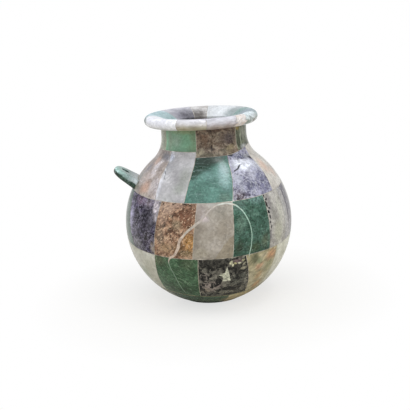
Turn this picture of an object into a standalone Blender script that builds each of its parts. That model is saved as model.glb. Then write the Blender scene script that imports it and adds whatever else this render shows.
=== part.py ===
"""Ball vase turned from blocks of semi-precious stone glued edge to edge.

The vase is six rows of stones on one turned wall, a round plug in the floor and one pierced
ear on the left shoulder. Every stone is the full thickness of the wall, so its seams show
inside and out. Metres, +Z up, origin on the axis in the plane that the vase stands on, front
towards -Y. Azimuths are in degrees, 0 at the front and growing to the right.
"""

import math

import bmesh
import bpy
from mathutils import Matrix, Vector

# Sizes of the turned wall
BELLY_RADIUS = 0.075
WALL = 0.0095
NECK_RADIUS = 0.0378
NECK_FILLET = 0.0276
NECK_STRAIGHT = 0.0099
LIP_RADIUS = 0.0501
LIP_THICKNESS = 0.0094
LIP_OFF_CENTRE = 0.0018
THROAT_EDGE = 0.0024
FOOT_RADIUS = 0.0285
FOOT_HEIGHT = 0.0020
FOOT_COVE = 0.0034
FLOOR_THICKNESS = 0.0100
PLUG_RADIUS = 0.0140

# Width of the joint between two stones
JOINT = 0.0003

# Sizes of the pierced ear: where it stands on the belly, the slope of its own axis, its tab and its eye
EAR_AZIMUTH = -88.0
EAR_LATITUDE = 32.3
EAR_RISE = 35.3
EAR_REACH = 0.0220
EAR_TIP_WIDTH = 0.0270
EAR_ROOT_WIDTH = 0.0320
EAR_TIP_THICKNESS = 0.0063
EAR_ROOT_THICKNESS = 0.0092
EAR_CORNER = 0.0125
EAR_EDGE = 0.0024
EYE_DIAMETER = 0.0066
EYE_FROM_TIP = 0.0094

# Largest cell of a stone's grid
CELL_DEGREES = 8.0
CELL_LENGTH = 0.0080

# Heights that follow from the sizes
BELLY_Z = FOOT_HEIGHT + math.sqrt(BELLY_RADIUS**2 - (FOOT_RADIUS + FOOT_COVE) ** 2)
FILLET_R = NECK_RADIUS + NECK_FILLET
FILLET_Z = BELLY_Z + math.sqrt((BELLY_RADIUS + NECK_FILLET) ** 2 - FILLET_R**2)
LIP_Z = FILLET_Z + NECK_STRAIGHT
BEAD = LIP_THICKNESS / 2
TANGENT = math.atan2(FILLET_Z - BELLY_Z, FILLET_R)

# Stones by kind: colour and roughness of the polished face
STONES = {
    "white_quartz": ("d2cfcb", 0.22),
    "grey_quartz": ("aca69c", 0.20),
    "green_aventurine": ("6b9f86", 0.18),
    "dark_aventurine": ("3b6853", 0.18),
    "dark_amethyst": ("4a4160", 0.22),
    "light_amethyst": ("9a94b0", 0.22),
    "brown_jasper": ("97765c", 0.28),
    "mauve_jasper": ("ab9690", 0.24),
    "tan_jasper": ("b39a76", 0.24),
    "olive_jasper": ("7b8368", 0.26),
    "cream_jasper": ("c3bda6", 0.22),
    "pink_granite": ("b7a296", 0.26),
    "dendritic_agate": ("3b3838", 0.20),
    "banded_agate": ("6f6a7c", 0.20),
}

# Rows of stones, left to right: azimuth of the left seam at its top and at its bottom, and the stone
LIP_ROW = (
    (-85, -85, "white_quartz"),
    (-27, -27, "tan_jasper"),
    (3, 3, "mauve_jasper"),
    (34, 34, "pink_granite"),
    (48, 48, "olive_jasper"),
    (75, 75, "green_aventurine"),
    (118, 118, "white_quartz"),
    (173, 173, "brown_jasper"),
    (195, 195, "light_amethyst"),
    (235, 235, "green_aventurine"),
)
NECK_ROW = (
    (-60, -60, "green_aventurine"),
    (-10.5, -10.5, "brown_jasper"),
    (46, 46, "olive_jasper"),
    (96, 96, "white_quartz"),
    (150, 150, "dark_amethyst"),
    (205, 205, "dark_aventurine"),
    (258, 258, "cream_jasper"),
)
SHOULDER_ROW = (
    (-104, -104, "pink_granite"),
    (-46, -41, "white_quartz"),
    (-11.3, -17, "green_aventurine"),
    (27, 18, "light_amethyst"),
    (62, 56.5, "cream_jasper"),
    (98, 95, "dark_amethyst"),
    (134, 134, "tan_jasper"),
    (172, 172, "dark_aventurine"),
    (214, 214, "grey_quartz"),
)
BELLY_ROW = (
    (-98, -98, "green_aventurine"),
    (-73, -62, "dark_amethyst"),
    (-35, -40.5, "brown_jasper"),
    (-7.5, -12, "grey_quartz"),
    (17.3, 14.6, "dark_aventurine"),
    (43.5, 43.5, "pink_granite"),
    (62, 62, "banded_agate"),
    (86, 86, "cream_jasper"),
    (114, 114, "green_aventurine"),
    (142, 142, "mauve_jasper"),
    (170, 170, "white_quartz"),
    (200, 200, "brown_jasper"),
    (231, 231, "light_amethyst"),
)
LOWER_ROW = (
    (-88, -88, "cream_jasper"),
    (-40.5, -50, "dark_aventurine"),
    (-8.4, -12, "dendritic_agate"),
    (24, 34, "tan_jasper"),
    (52, 52, "cream_jasper"),
    (92, 92, "dark_amethyst"),
    (128, 128, "grey_quartz"),
    (164, 164, "olive_jasper"),
    (200, 200, "dark_amethyst"),
    (236, 236, "green_aventurine"),
)
BASE_ROW = (
    (-55, -55, "dark_aventurine"),
    (17, 17, "tan_jasper"),
    (89, 89, "grey_quartz"),
    (161, 161, "dark_aventurine"),
    (233, 233, "cream_jasper"),
)


def path_of_latitude(degrees):
    """Distance along the wall's outer profile, from the belly's widest ring up to a latitude."""
    return BELLY_RADIUS * math.radians(degrees)


def path_of_fillet(degrees):
    """Distance along the profile to the point of the neck's fillet that faces this far down."""
    return BELLY_RADIUS * TANGENT + NECK_FILLET * (TANGENT - math.radians(degrees))


NECK_TOP = path_of_fillet(0) + NECK_STRAIGHT


def wall_point(path, depth):
    """Radius and height of a point of the wall: its place along the profile, its depth below the skin."""
    if path < BELLY_RADIUS * TANGENT:
        angle = path / BELLY_RADIUS
        reach = BELLY_RADIUS - depth
        return reach * math.cos(angle), BELLY_Z + reach * math.sin(angle)
    if path < path_of_fillet(0):
        angle = TANGENT - (path - BELLY_RADIUS * TANGENT) / NECK_FILLET
        reach = NECK_FILLET + depth
        return FILLET_R - reach * math.cos(angle), FILLET_Z - reach * math.sin(angle)
    return NECK_RADIUS - depth, FILLET_Z + path - path_of_fillet(0)


def tilted(low, rise, azimuth):
    """Latitude of a ring seam sawn a little out of level, lowest towards the given azimuth."""
    return lambda az, middle: path_of_latitude(low + rise * (1 - math.cos(math.radians(az - azimuth))))


def saddled(low, rise, azimuth):
    """Latitude of a ring seam that is low at the front and the back and high at the sides."""
    return lambda az, middle: path_of_latitude(low + rise * math.sin(math.radians(az - azimuth)) ** 2)


def neck_seam(az, middle):
    """The neck's lower seam, which drops by one saw step at the front seam and climbs back to the right."""
    turn = (middle - NECK_ROW[1][0]) % 360 + az - middle
    climb = min(max((turn - 35) / 50, 0), 1)
    return path_of_fillet(30.0 - 10.0 * climb * climb * (3 - 2 * climb))


def neck_top(az, middle):
    """The level seam under the lip."""
    return NECK_TOP


shoulder_seam = tilted(24.7, 3.6, 12)
belly_seam = tilted(-12.0, 4.6, 8)
base_seam = saddled(-48.8, 6.4, 12)


def blend(start, end, share):
    return start + (end - start) * share


def seam_shift(radius):
    """Angle, in degrees, that half a joint takes at this radius."""
    return math.degrees(math.asin(JOINT / 2 / radius))


def material(kind):
    """The polished stone of this kind, made once."""
    if kind in bpy.data.materials:
        return bpy.data.materials[kind]
    colour, roughness = STONES[kind]
    new = bpy.data.materials.new(kind)
    new.use_nodes = True
    shader = new.node_tree.nodes["Principled BSDF"]
    channels = [int(colour[i : i + 2], 16) / 255 for i in (0, 2, 4)]
    linear = [c / 12.92 if c <= 0.04045 else ((c + 0.055) / 1.055) ** 2.4 for c in channels]
    shader.inputs["Base Color"].default_value = (*linear, 1)
    shader.inputs["Roughness"].default_value = roughness
    shader.inputs["Metallic"].default_value = 0
    return new


def finish(mesh, name, kind, parent):
    """Puts a mesh in the scene as one named piece of stone, smooth apart from its arrises."""
    mesh.shade_smooth()
    mesh.set_sharp_from_angle(angle=math.radians(35))
    mesh.materials.append(material(kind))
    piece = bpy.data.objects.new(name, mesh)
    piece.parent = parent
    bpy.context.collection.objects.link(piece)
    return piece


def stone_mesh(name, skin, back, columns, rows):
    """A block between two grids of points, its skin and its back, closed by its four sides."""
    shape = bmesh.new()
    front = [[shape.verts.new(skin(k / columns, j)) for j in range(rows + 1)] for k in range(columns + 1)]
    rear = [[shape.verts.new(back(k / columns, j)) for j in range(rows + 1)] for k in range(columns + 1)]
    for k in range(columns):
        for j in range(rows):
            shape.faces.new((front[k][j], front[k + 1][j], front[k + 1][j + 1], front[k][j + 1]))
            shape.faces.new((rear[k][j], rear[k][j + 1], rear[k + 1][j + 1], rear[k + 1][j]))
        shape.faces.new((front[k][0], rear[k][0], rear[k + 1][0], front[k + 1][0]))
        shape.faces.new((front[k][rows], front[k + 1][rows], rear[k + 1][rows], rear[k][rows]))
    for j in range(rows):
        shape.faces.new((front[0][j], front[0][j + 1], rear[0][j + 1], rear[0][j]))
        shape.faces.new((front[columns][j], rear[columns][j], rear[columns][j + 1], front[columns][j + 1]))
    bmesh.ops.recalc_face_normals(shape, faces=shape.faces)
    mesh = bpy.data.meshes.new(name)
    shape.to_mesh(mesh)
    shape.free()
    return mesh


def seams_of(row):
    """Each stone of a row with its left and right seams, as (azimuth at top, azimuth at bottom)."""
    for number, (top, bottom, kind) in enumerate(row):
        after = row[(number + 1) % len(row)]
        turn = 360 if number + 1 == len(row) else 0
        yield number + 1, kind, (top, bottom), (after[0] + turn, after[1] + turn)


def turned(azimuth, radius, height):
    """A point of the vase from its azimuth, radius and height."""
    angle = math.radians(azimuth)
    return Vector((radius * math.sin(angle), -radius * math.cos(angle), height))


def wall_row(title, row, low_seam, high_seam, parent):
    """One row of stones of the wall, between two ring seams.

    A slanted seam has its two azimuths where it meets the ring seams' front points.
    """
    bottom = low_seam(0, 0)
    length = high_seam(0, 0) - bottom
    rows = math.ceil(length / CELL_LENGTH)
    for number, kind, left, right in seams_of(row):
        middle = (sum(left) + sum(right)) / 4
        columns = math.ceil((right[0] - left[0]) / CELL_DEGREES)

        def point(share, j, depth, left=left, right=right, middle=middle):
            azimuth = middle
            for _ in range(3):
                low = low_seam(azimuth, middle) + JOINT / 2
                high = high_seam(azimuth, middle) - JOINT / 2
                path = blend(low, high, j / rows)
                radius, height = wall_point(path, depth)
                slant = (path - bottom) / length
                start = blend(left[1], left[0], slant) + seam_shift(radius)
                end = blend(right[1], right[0], slant) - seam_shift(radius)
                azimuth = blend(start, end, share)
            return turned(azimuth, radius, height)

        name = f"{title}_stone_{number:02d}"
        skin = lambda share, j: point(share, j, 0)
        back = lambda share, j: point(share, j, WALL)
        finish(stone_mesh(name, skin, back, columns, rows), name, kind, parent)


def lip_chains(azimuth):
    """Points of the lip's section, throat to rim: along its flat underside, and over its trumpet mouth.

    The rim is a round ground off the axis, towards the ear's side.
    """
    bead_r = LIP_RADIUS - BEAD + LIP_OFF_CENTRE * math.cos(math.radians(azimuth - EAR_AZIMUTH))
    bead_z = LIP_Z + BEAD
    throat = NECK_RADIUS - WALL
    under = [(blend(throat, bead_r, i / 3), LIP_Z) for i in range(3)]
    over = []
    for i in range(3):
        share = i / 3
        climb = 1 - (1 - share) ** 2
        over.append((blend(throat, bead_r, share), blend(LIP_Z + THROAT_EDGE, LIP_Z + LIP_THICKNESS, climb)))
    for degrees in (90, 66, 42, 14):
        along = BEAD * math.cos(math.radians(degrees))
        across = BEAD * math.sin(math.radians(degrees))
        under.append((bead_r + along, bead_z - across))
        over.append((bead_r + along, bead_z + across))
    under = [(r, max(z, LIP_Z + JOINT / 2)) for r, z in under]
    return under, over


def base_chains(azimuth):
    """Points of the base's section, wall to plug: round under the foot, and down to the flat floor inside."""
    top = base_seam(azimuth, azimuth) - JOINT / 2
    seat = -BELLY_RADIUS * math.asin((BELLY_Z - FOOT_HEIGHT) / BELLY_RADIUS)
    inner = BELLY_RADIUS - WALL
    floor_angle = -math.asin((BELLY_Z - FLOOR_THICKNESS) / inner)
    floor_edge = inner * math.cos(floor_angle)
    bore = PLUG_RADIUS + JOINT
    under = [wall_point(blend(top, seat, i / 3), 0) for i in range(4)]
    under.append((FOOT_RADIUS + 0.35 * FOOT_COVE, 0.80 * FOOT_HEIGHT))
    under.append((FOOT_RADIUS, 0.50 * FOOT_HEIGHT))
    under.append((FOOT_RADIUS, 0))
    under.append((bore, 0))
    over = [wall_point(blend(top, floor_angle * BELLY_RADIUS, i / 3), WALL) for i in range(4)]
    over += [(blend(floor_edge, bore, i / 4), FLOOR_THICKNESS) for i in range(1, 5)]
    return under, over


def swept_row(title, row, chains, parent):
    """One row of stones whose section is a pair of chains, swept between vertical seams."""
    for number, kind, left, right in seams_of(row):
        columns = math.ceil((right[0] - left[0]) / CELL_DEGREES)
        rows = len(chains(left[0])[0]) - 1

        def point(share, j, side, left=left, right=right):
            azimuth = blend(left[0], right[0], share)
            radius, height = chains(azimuth)[side][j]
            start = left[0] + seam_shift(radius)
            end = right[0] - seam_shift(radius)
            return turned(blend(start, end, share), radius, height)

        name = f"{title}_stone_{number:02d}"
        skin = lambda share, j: point(share, j, 0)
        back = lambda share, j: point(share, j, 1)
        finish(stone_mesh(name, skin, back, columns, rows), name, kind, parent)


def plug(parent):
    """The round stone that closes the floor, flush with the foot below and with the floor inside."""
    shape = bmesh.new()
    bmesh.ops.create_cone(
        shape,
        cap_ends=True,
        segments=36,
        radius1=PLUG_RADIUS,
        radius2=PLUG_RADIUS,
        depth=FLOOR_THICKNESS,
        matrix=Matrix.Translation((0, 0, FLOOR_THICKNESS / 2)),
    )
    mesh = bpy.data.meshes.new("base_plug")
    shape.to_mesh(mesh)
    shape.free()
    finish(mesh, "base_plug", "white_quartz", parent)


def cutter(name, shape, parent):
    """A hidden guide that cuts its shape out of the ear."""
    mesh = bpy.data.meshes.new(name)
    shape.to_mesh(mesh)
    shape.free()
    tool = bpy.data.objects.new(name, mesh)
    tool.parent = parent
    tool.hide_render = True
    tool.display_type = "WIRE"
    bpy.context.collection.objects.link(tool)
    return tool


def ear(parent):
    """The pierced ear: a thick tab, round at its tip, seated on the belly and bored from above.

    Its own X axis runs out from the belly's surface to the tip, and its Y axis from front to back.
    """
    root = -WALL / 2 - EAR_ROOT_WIDTH**2 / (8 * BELLY_RADIUS)
    outline = [(root, -EAR_ROOT_WIDTH / 2)]
    for side in (-1, 1):
        for i in range(7):
            angle = math.radians(15 * i if side > 0 else 90 - 15 * i)
            along = EAR_REACH - EAR_CORNER + EAR_CORNER * math.cos(angle)
            across = EAR_TIP_WIDTH / 2 - EAR_CORNER + EAR_CORNER * math.sin(angle)
            outline.append((along, side * across))
    outline.append((root, EAR_ROOT_WIDTH / 2))

    shape = bmesh.new()
    levels = []
    for side in (-1, 1):
        loop = []
        for along, across in outline:
            share = (EAR_REACH - along) / (EAR_REACH - root)
            half = blend(EAR_TIP_THICKNESS, EAR_ROOT_THICKNESS, share) / 2
            loop.append(shape.verts.new((along, across, side * half)))
        levels.append(loop)
    under, over = levels
    shape.faces.new(list(reversed(under)))
    shape.faces.new(over)
    count = len(outline)
    for i in range(count):
        following = (i + 1) % count
        shape.faces.new((under[i], under[following], over[following], over[i]))
    bmesh.ops.recalc_face_normals(shape, faces=shape.faces)
    rim = [edge for edge in shape.edges if abs(edge.verts[0].co.z - edge.verts[1].co.z) < EAR_TIP_THICKNESS / 2]
    bmesh.ops.bevel(shape, geom=rim, offset=EAR_EDGE, offset_type="OFFSET", segments=3, profile=0.5, affect="EDGES")
    mesh = bpy.data.meshes.new("ear_lug")
    shape.to_mesh(mesh)
    shape.free()

    frame = bpy.data.objects.new("ear_frame", None)
    frame.parent = parent
    latitude = math.radians(EAR_LATITUDE)
    out = BELLY_RADIUS * math.cos(latitude)
    frame.location = turned(EAR_AZIMUTH, out, BELLY_Z + BELLY_RADIUS * math.sin(latitude))
    frame.rotation_euler = (0, -math.radians(EAR_RISE), math.radians(EAR_AZIMUTH - 90))
    bpy.context.collection.objects.link(frame)

    piece = finish(mesh, "ear_lug", "green_aventurine", frame)
    ball = bmesh.new()
    bmesh.ops.create_uvsphere(ball, u_segments=80, v_segments=40, radius=BELLY_RADIUS + JOINT)
    bmesh.ops.translate(ball, verts=ball.verts, vec=(0, 0, BELLY_Z))
    drill = bmesh.new()
    bmesh.ops.create_cone(
        drill,
        cap_ends=True,
        segments=24,
        radius1=EYE_DIAMETER / 2,
        radius2=EYE_DIAMETER / 2,
        depth=4 * EAR_ROOT_THICKNESS,
        matrix=Matrix.Translation((EAR_REACH - EYE_FROM_TIP, 0, 0)),
    )
    for tool in (cutter("ear_seat_cutter", ball, parent), cutter("ear_eye_cutter", drill, frame)):
        cut = piece.modifiers.new(tool.name, "BOOLEAN")
        cut.operation = "DIFFERENCE"
        cut.solver = "EXACT"
        cut.object = tool


for old in list(bpy.data.objects):
    bpy.data.objects.remove(old, do_unlink=True)

vase = bpy.data.objects.new("ball_vase", None)
bpy.context.collection.objects.link(vase)

swept_row("base", BASE_ROW, base_chains, vase)
plug(vase)
wall_row("lower", LOWER_ROW, base_seam, belly_seam, vase)
wall_row("belly", BELLY_ROW, belly_seam, shoulder_seam, vase)
wall_row("shoulder", SHOULDER_ROW, shoulder_seam, neck_seam, vase)
wall_row("neck", NECK_ROW, neck_seam, neck_top, vase)
swept_row("lip", LIP_ROW, lip_chains, vase)
ear(vase)
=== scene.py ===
import math

import bpy
import numpy as np
from mathutils import Matrix


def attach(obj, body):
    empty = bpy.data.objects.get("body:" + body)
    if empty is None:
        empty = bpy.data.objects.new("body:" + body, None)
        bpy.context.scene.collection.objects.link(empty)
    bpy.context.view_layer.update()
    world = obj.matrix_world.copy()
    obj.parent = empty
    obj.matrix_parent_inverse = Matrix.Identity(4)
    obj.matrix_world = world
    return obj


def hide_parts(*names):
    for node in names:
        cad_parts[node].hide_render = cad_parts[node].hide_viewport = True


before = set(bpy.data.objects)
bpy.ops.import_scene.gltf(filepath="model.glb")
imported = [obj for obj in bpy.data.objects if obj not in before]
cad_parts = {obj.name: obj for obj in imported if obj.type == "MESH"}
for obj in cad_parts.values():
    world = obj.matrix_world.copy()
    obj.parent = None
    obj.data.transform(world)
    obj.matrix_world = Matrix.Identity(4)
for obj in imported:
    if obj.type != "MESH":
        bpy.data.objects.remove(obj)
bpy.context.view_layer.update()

# Base stones
# Five wedges of stone, sawn, glued round a plug and turned as one with the ball above them.
# They make the round underside, the low foot and the flat floor inside. Polished outside only.
BELLY_RADIUS = 0.075
WALL = 0.0095
NECK_RADIUS = 0.0378
NECK_FILLET = 0.0276
NECK_STRAIGHT = 0.0099
FOOT_RADIUS = 0.0285
FOOT_HEIGHT = 0.0020
FOOT_COVE = 0.0034
FOOT_EDGE = 0.0004
FLOOR_THICKNESS = 0.0100
BASE_MEAN_RADIUS = 0.0400
PLUG_RADIUS = 0.0140
GLUE = 0.0004
ARRIS = 0.00012
GRID = 0.0016

BELLY_Z = FOOT_HEIGHT + math.sqrt(BELLY_RADIUS**2 - (FOOT_RADIUS + FOOT_COVE) ** 2)
FILLET_R = NECK_RADIUS + NECK_FILLET
FILLET_Z = BELLY_Z + math.sqrt((BELLY_RADIUS + NECK_FILLET) ** 2 - FILLET_R**2)
TANGENT = math.atan2(FILLET_Z - BELLY_Z, FILLET_R)
NECK_TOP = (BELLY_RADIUS + NECK_FILLET) * TANGENT + NECK_STRAIGHT


def wall_point(path, depth):
    """Radius and height of points of the turned wall, square to its skin by a depth.

    The path runs up the outer profile from the ball's widest ring: an arc of the ball, then the
    neck's fillet, an arc bent the other way, then straight up the neck.
    """
    rise = path / BELLY_RADIUS
    bend = TANGENT - (path - BELLY_RADIUS * TANGENT) / NECK_FILLET
    ball, hollow = BELLY_RADIUS - depth, NECK_FILLET + depth
    where = (rise < TANGENT, bend > 0)
    radii = (ball * np.cos(rise), FILLET_R - hollow * np.cos(bend))
    heights = (BELLY_Z + ball * np.sin(rise), FILLET_Z - hollow * np.sin(bend))
    radius = np.select(where, radii, NECK_RADIUS - depth)
    return radius, np.select(where, heights, FILLET_Z - NECK_FILLET * bend)


def turned(azimuth, radius, height):
    """Points from azimuth, radius and height: right by radius times sine, forward by radius times cosine."""
    angle = np.radians(azimuth)
    return np.stack(np.broadcast_arrays(radius * np.sin(angle), -radius * np.cos(angle), height), axis=-1)


def ring_seam(lowest, climb, front, waves=1):
    """Path of a seam round the vase: sawn out of level, it climbs from its lowest by one less the cosine."""

    def path(azimuth, middle):
        return BELLY_RADIUS * np.radians(lowest + climb * (1 - np.cos(waves * np.radians(azimuth - front))))

    return path


base_seam = ring_seam(-48.8, 3.2, 12, waves=2)


def stones_of(row):
    """A row's stones: number, left seam and right seam, each its azimuth at top and bottom, and the rest."""
    for number, (seam, *rest) in enumerate(row, 1):
        turn = 360 * (number == len(row))
        after = row[number % len(row)][0]
        yield number, seam, (after[0] + turn, after[1] + turn), *rest


def sawn(length):
    """Grid lines along a stone's side, as shares of it: three at each end for the arris, even between."""
    even = np.linspace(2 * ARRIS, length - 2 * ARRIS, max(4, math.ceil(length / GRID)))
    ends = ARRIS * np.array((0, 0.3, 1.0))
    return np.concatenate((ends, even, length - ends[::-1])) / length


def eased(across, up, width, height):
    """Depth that easing takes off a skin: a quarter circle by the distance to the nearest edge."""
    across, up = across[:, None], up[None, :]
    near = np.minimum(np.minimum(across, 1 - across) * width, np.minimum(up, 1 - up) * height)
    return ARRIS - np.sqrt(ARRIS**2 - (ARRIS - np.minimum(near, ARRIS)) ** 2)


def block(skin, back):
    """A closed block between two equal grids of points: a quad between each four, and four sides.

    Returns its points, its quads, and 0 for each point of the skin and 1 for each of the back.
    """
    front = np.arange(skin.shape[0] * skin.shape[1]).reshape(skin.shape[:2])
    rear = front + front.size
    sides = (
        (front[:-1, :-1], front[1:, :-1], front[1:, 1:], front[:-1, 1:]),
        (rear[:-1, :-1], rear[:-1, 1:], rear[1:, 1:], rear[1:, :-1]),
        (front[:-1, 0], rear[:-1, 0], rear[1:, 0], front[1:, 0]),
        (front[:-1, -1], front[1:, -1], rear[1:, -1], rear[:-1, -1]),
        (front[0, :-1], front[0, 1:], rear[0, 1:], rear[0, :-1]),
        (front[-1, :-1], rear[-1, :-1], rear[-1, 1:], front[-1, 1:]),
    )
    quads = np.concatenate([np.stack(side, axis=-1).reshape(-1, 4) for side in sides])
    points = np.concatenate((skin.reshape(-1, 3), back.reshape(-1, 3)))
    return points, quads, np.repeat((0.0, 1.0), front.size)


def made(name, blocks, material, node=None):
    """One object of one or more closed blocks, smooth but for its arrises, on the vase's one body."""
    starts = np.cumsum([0] + [len(points) for points, _, _ in blocks[:-1]])
    mesh = bpy.data.meshes.new(name)
    points = np.concatenate([points for points, _, _ in blocks])
    quads = np.concatenate([quads + start for start, (_, quads, _) in zip(starts, blocks)])
    mesh.from_pydata(points.tolist(), [], quads.tolist())
    inside = mesh.attributes.new("inside", "FLOAT", "POINT")
    inside.data.foreach_set("value", np.concatenate([side for _, _, side in blocks]).astype(np.float32))
    mesh.shade_smooth()
    mesh.set_sharp_from_angle(angle=math.radians(40))
    mesh.materials.append(material)
    piece = bpy.data.objects.new(name, mesh)
    bpy.context.scene.collection.objects.link(piece)
    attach(piece, "root")
    if node:
        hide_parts(node)


def swept(chains, left, right, across, side, inset):
    """A block whose section is a pair of chains, swept from one seam to the other.

    The gap at a seam keeps one width at every radius. A seam turns evenly from its azimuth at the
    section's foot to its azimuth at the top.
    """
    middle = sum(left) / 2 + (sum(right) - sum(left)) / 2 * across[:, None]
    sides = []
    for radius, height in chains(middle, inset):
        gap = np.degrees(np.arcsin(side / radius))
        lean = (height - height.min()) / (height.max() - height.min())
        start = left[1] + (left[0] - left[1]) * lean + gap
        stop = right[1] + (right[0] - right[1]) * lean - gap
        sides.append(turned(start + (stop - start) * across[:, None], radius, height))
    return block(*sides)


def base_chains(azimuth, inset):
    """Radii and heights of the base's section, plug to wall: along the foot and up the ball, and the floor.

    Outside, the ball's arc meets the foot in a small hollow, an ease of its radius and height by sine and
    cosine. Inside, the floor is flat to where it meets the wall's inner sphere.
    """
    top = base_seam(azimuth, 0) - GLUE / 2
    seat = -BELLY_RADIUS * math.asin((BELLY_Z - FOOT_HEIGHT) / BELLY_RADIUS)
    floor = -BELLY_RADIUS * math.asin((BELLY_Z - FLOOR_THICKNESS) / (BELLY_RADIUS - WALL))
    floor_edge = wall_point(floor, WALL)[0]
    bore = PLUG_RADIUS + GLUE / 2
    share = np.linspace(0, 1, 14)[None, :]
    turn = np.radians(np.linspace(0, 90, 6))[None, :]
    ones = np.ones_like(azimuth)
    radius, height = wall_point(seat + (top - seat) * share, inset)
    under_r = (
        (bore + (FOOT_RADIUS - FOOT_EDGE - bore) * share[:, :-1]) * ones,
        (FOOT_RADIUS - FOOT_EDGE * (1 - np.sin(turn))) * ones,
        (FOOT_RADIUS + FOOT_COVE * (1 - np.cos(turn[:, 1:-1]))) * ones,
        radius,
    )
    under_z = (
        0 * share[:, :-1] * ones + inset,
        (FOOT_EDGE * (1 - np.cos(turn))) * ones + inset,
        (FOOT_EDGE + (FOOT_HEIGHT - FOOT_EDGE) * np.sin(turn[:, 1:-1])) * ones + inset,
        height,
    )
    many = sum(part.shape[1] for part in under_r)
    half = many // 2
    flat = np.linspace(0, 1, half)[None, :-1] * ones
    climb = np.linspace(0, 1, many - half + 1)[None, :]
    inner_r, inner_z = wall_point(floor + (top - floor) * climb, WALL - inset)
    over_r = np.concatenate((bore + (floor_edge - bore) * flat, inner_r), axis=1)
    over_z = np.concatenate((0 * flat + FLOOR_THICKNESS - inset, inner_z), axis=1)
    return (np.concatenate(under_r, axis=1), np.concatenate(under_z, axis=1)), (over_r, over_z)


def linear(colour):
    """A colour written as sRGB hex, in the linear values that a shader takes."""
    channels = [int(colour[i : i + 2], 16) / 255 for i in (0, 2, 4)]
    return (*(c / 12.92 if c <= 0.04045 else ((c + 0.055) / 1.055) ** 2.4 for c in channels), 1)


class Nodes:
    """The nodes of a material or of the world, cleared to begin with."""

    def __init__(self, owner):
        owner.use_nodes = True
        self.tree = owner.node_tree
        self.tree.nodes.clear()

    def add(self, kind, inputs, output=0, stops=(), **settings):
        """Adds one node and returns an output of it. Inputs are values or outputs; stops are a ramp's."""
        node = self.tree.nodes.new("ShaderNode" + kind)
        for setting, value in settings.items():
            setattr(node, setting, value)
        for socket, value in inputs.items():
            if isinstance(value, bpy.types.NodeSocket):
                self.tree.links.new(value, node.inputs[socket])
            else:
                node.inputs[socket].default_value = value
        if stops:
            ramp = node.color_ramp.elements
            while len(ramp) < len(stops):
                ramp.new(1.0)
            for element, (place, colour) in zip(ramp, stops):
                element.position = place
                element.color = linear(colour)
        return node.outputs[output] if node.outputs else None


def skin_radius(height):
    """Radius of the vase's skin at a height, on the ball, the fillet or the neck."""
    if height > FILLET_Z:
        return NECK_RADIUS
    if height > BELLY_Z + BELLY_RADIUS * math.sin(TANGENT):
        return FILLET_R - math.sqrt(NECK_FILLET**2 - (FILLET_Z - height) ** 2)
    return math.sqrt(BELLY_RADIUS**2 - (height - BELLY_Z) ** 2)


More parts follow.
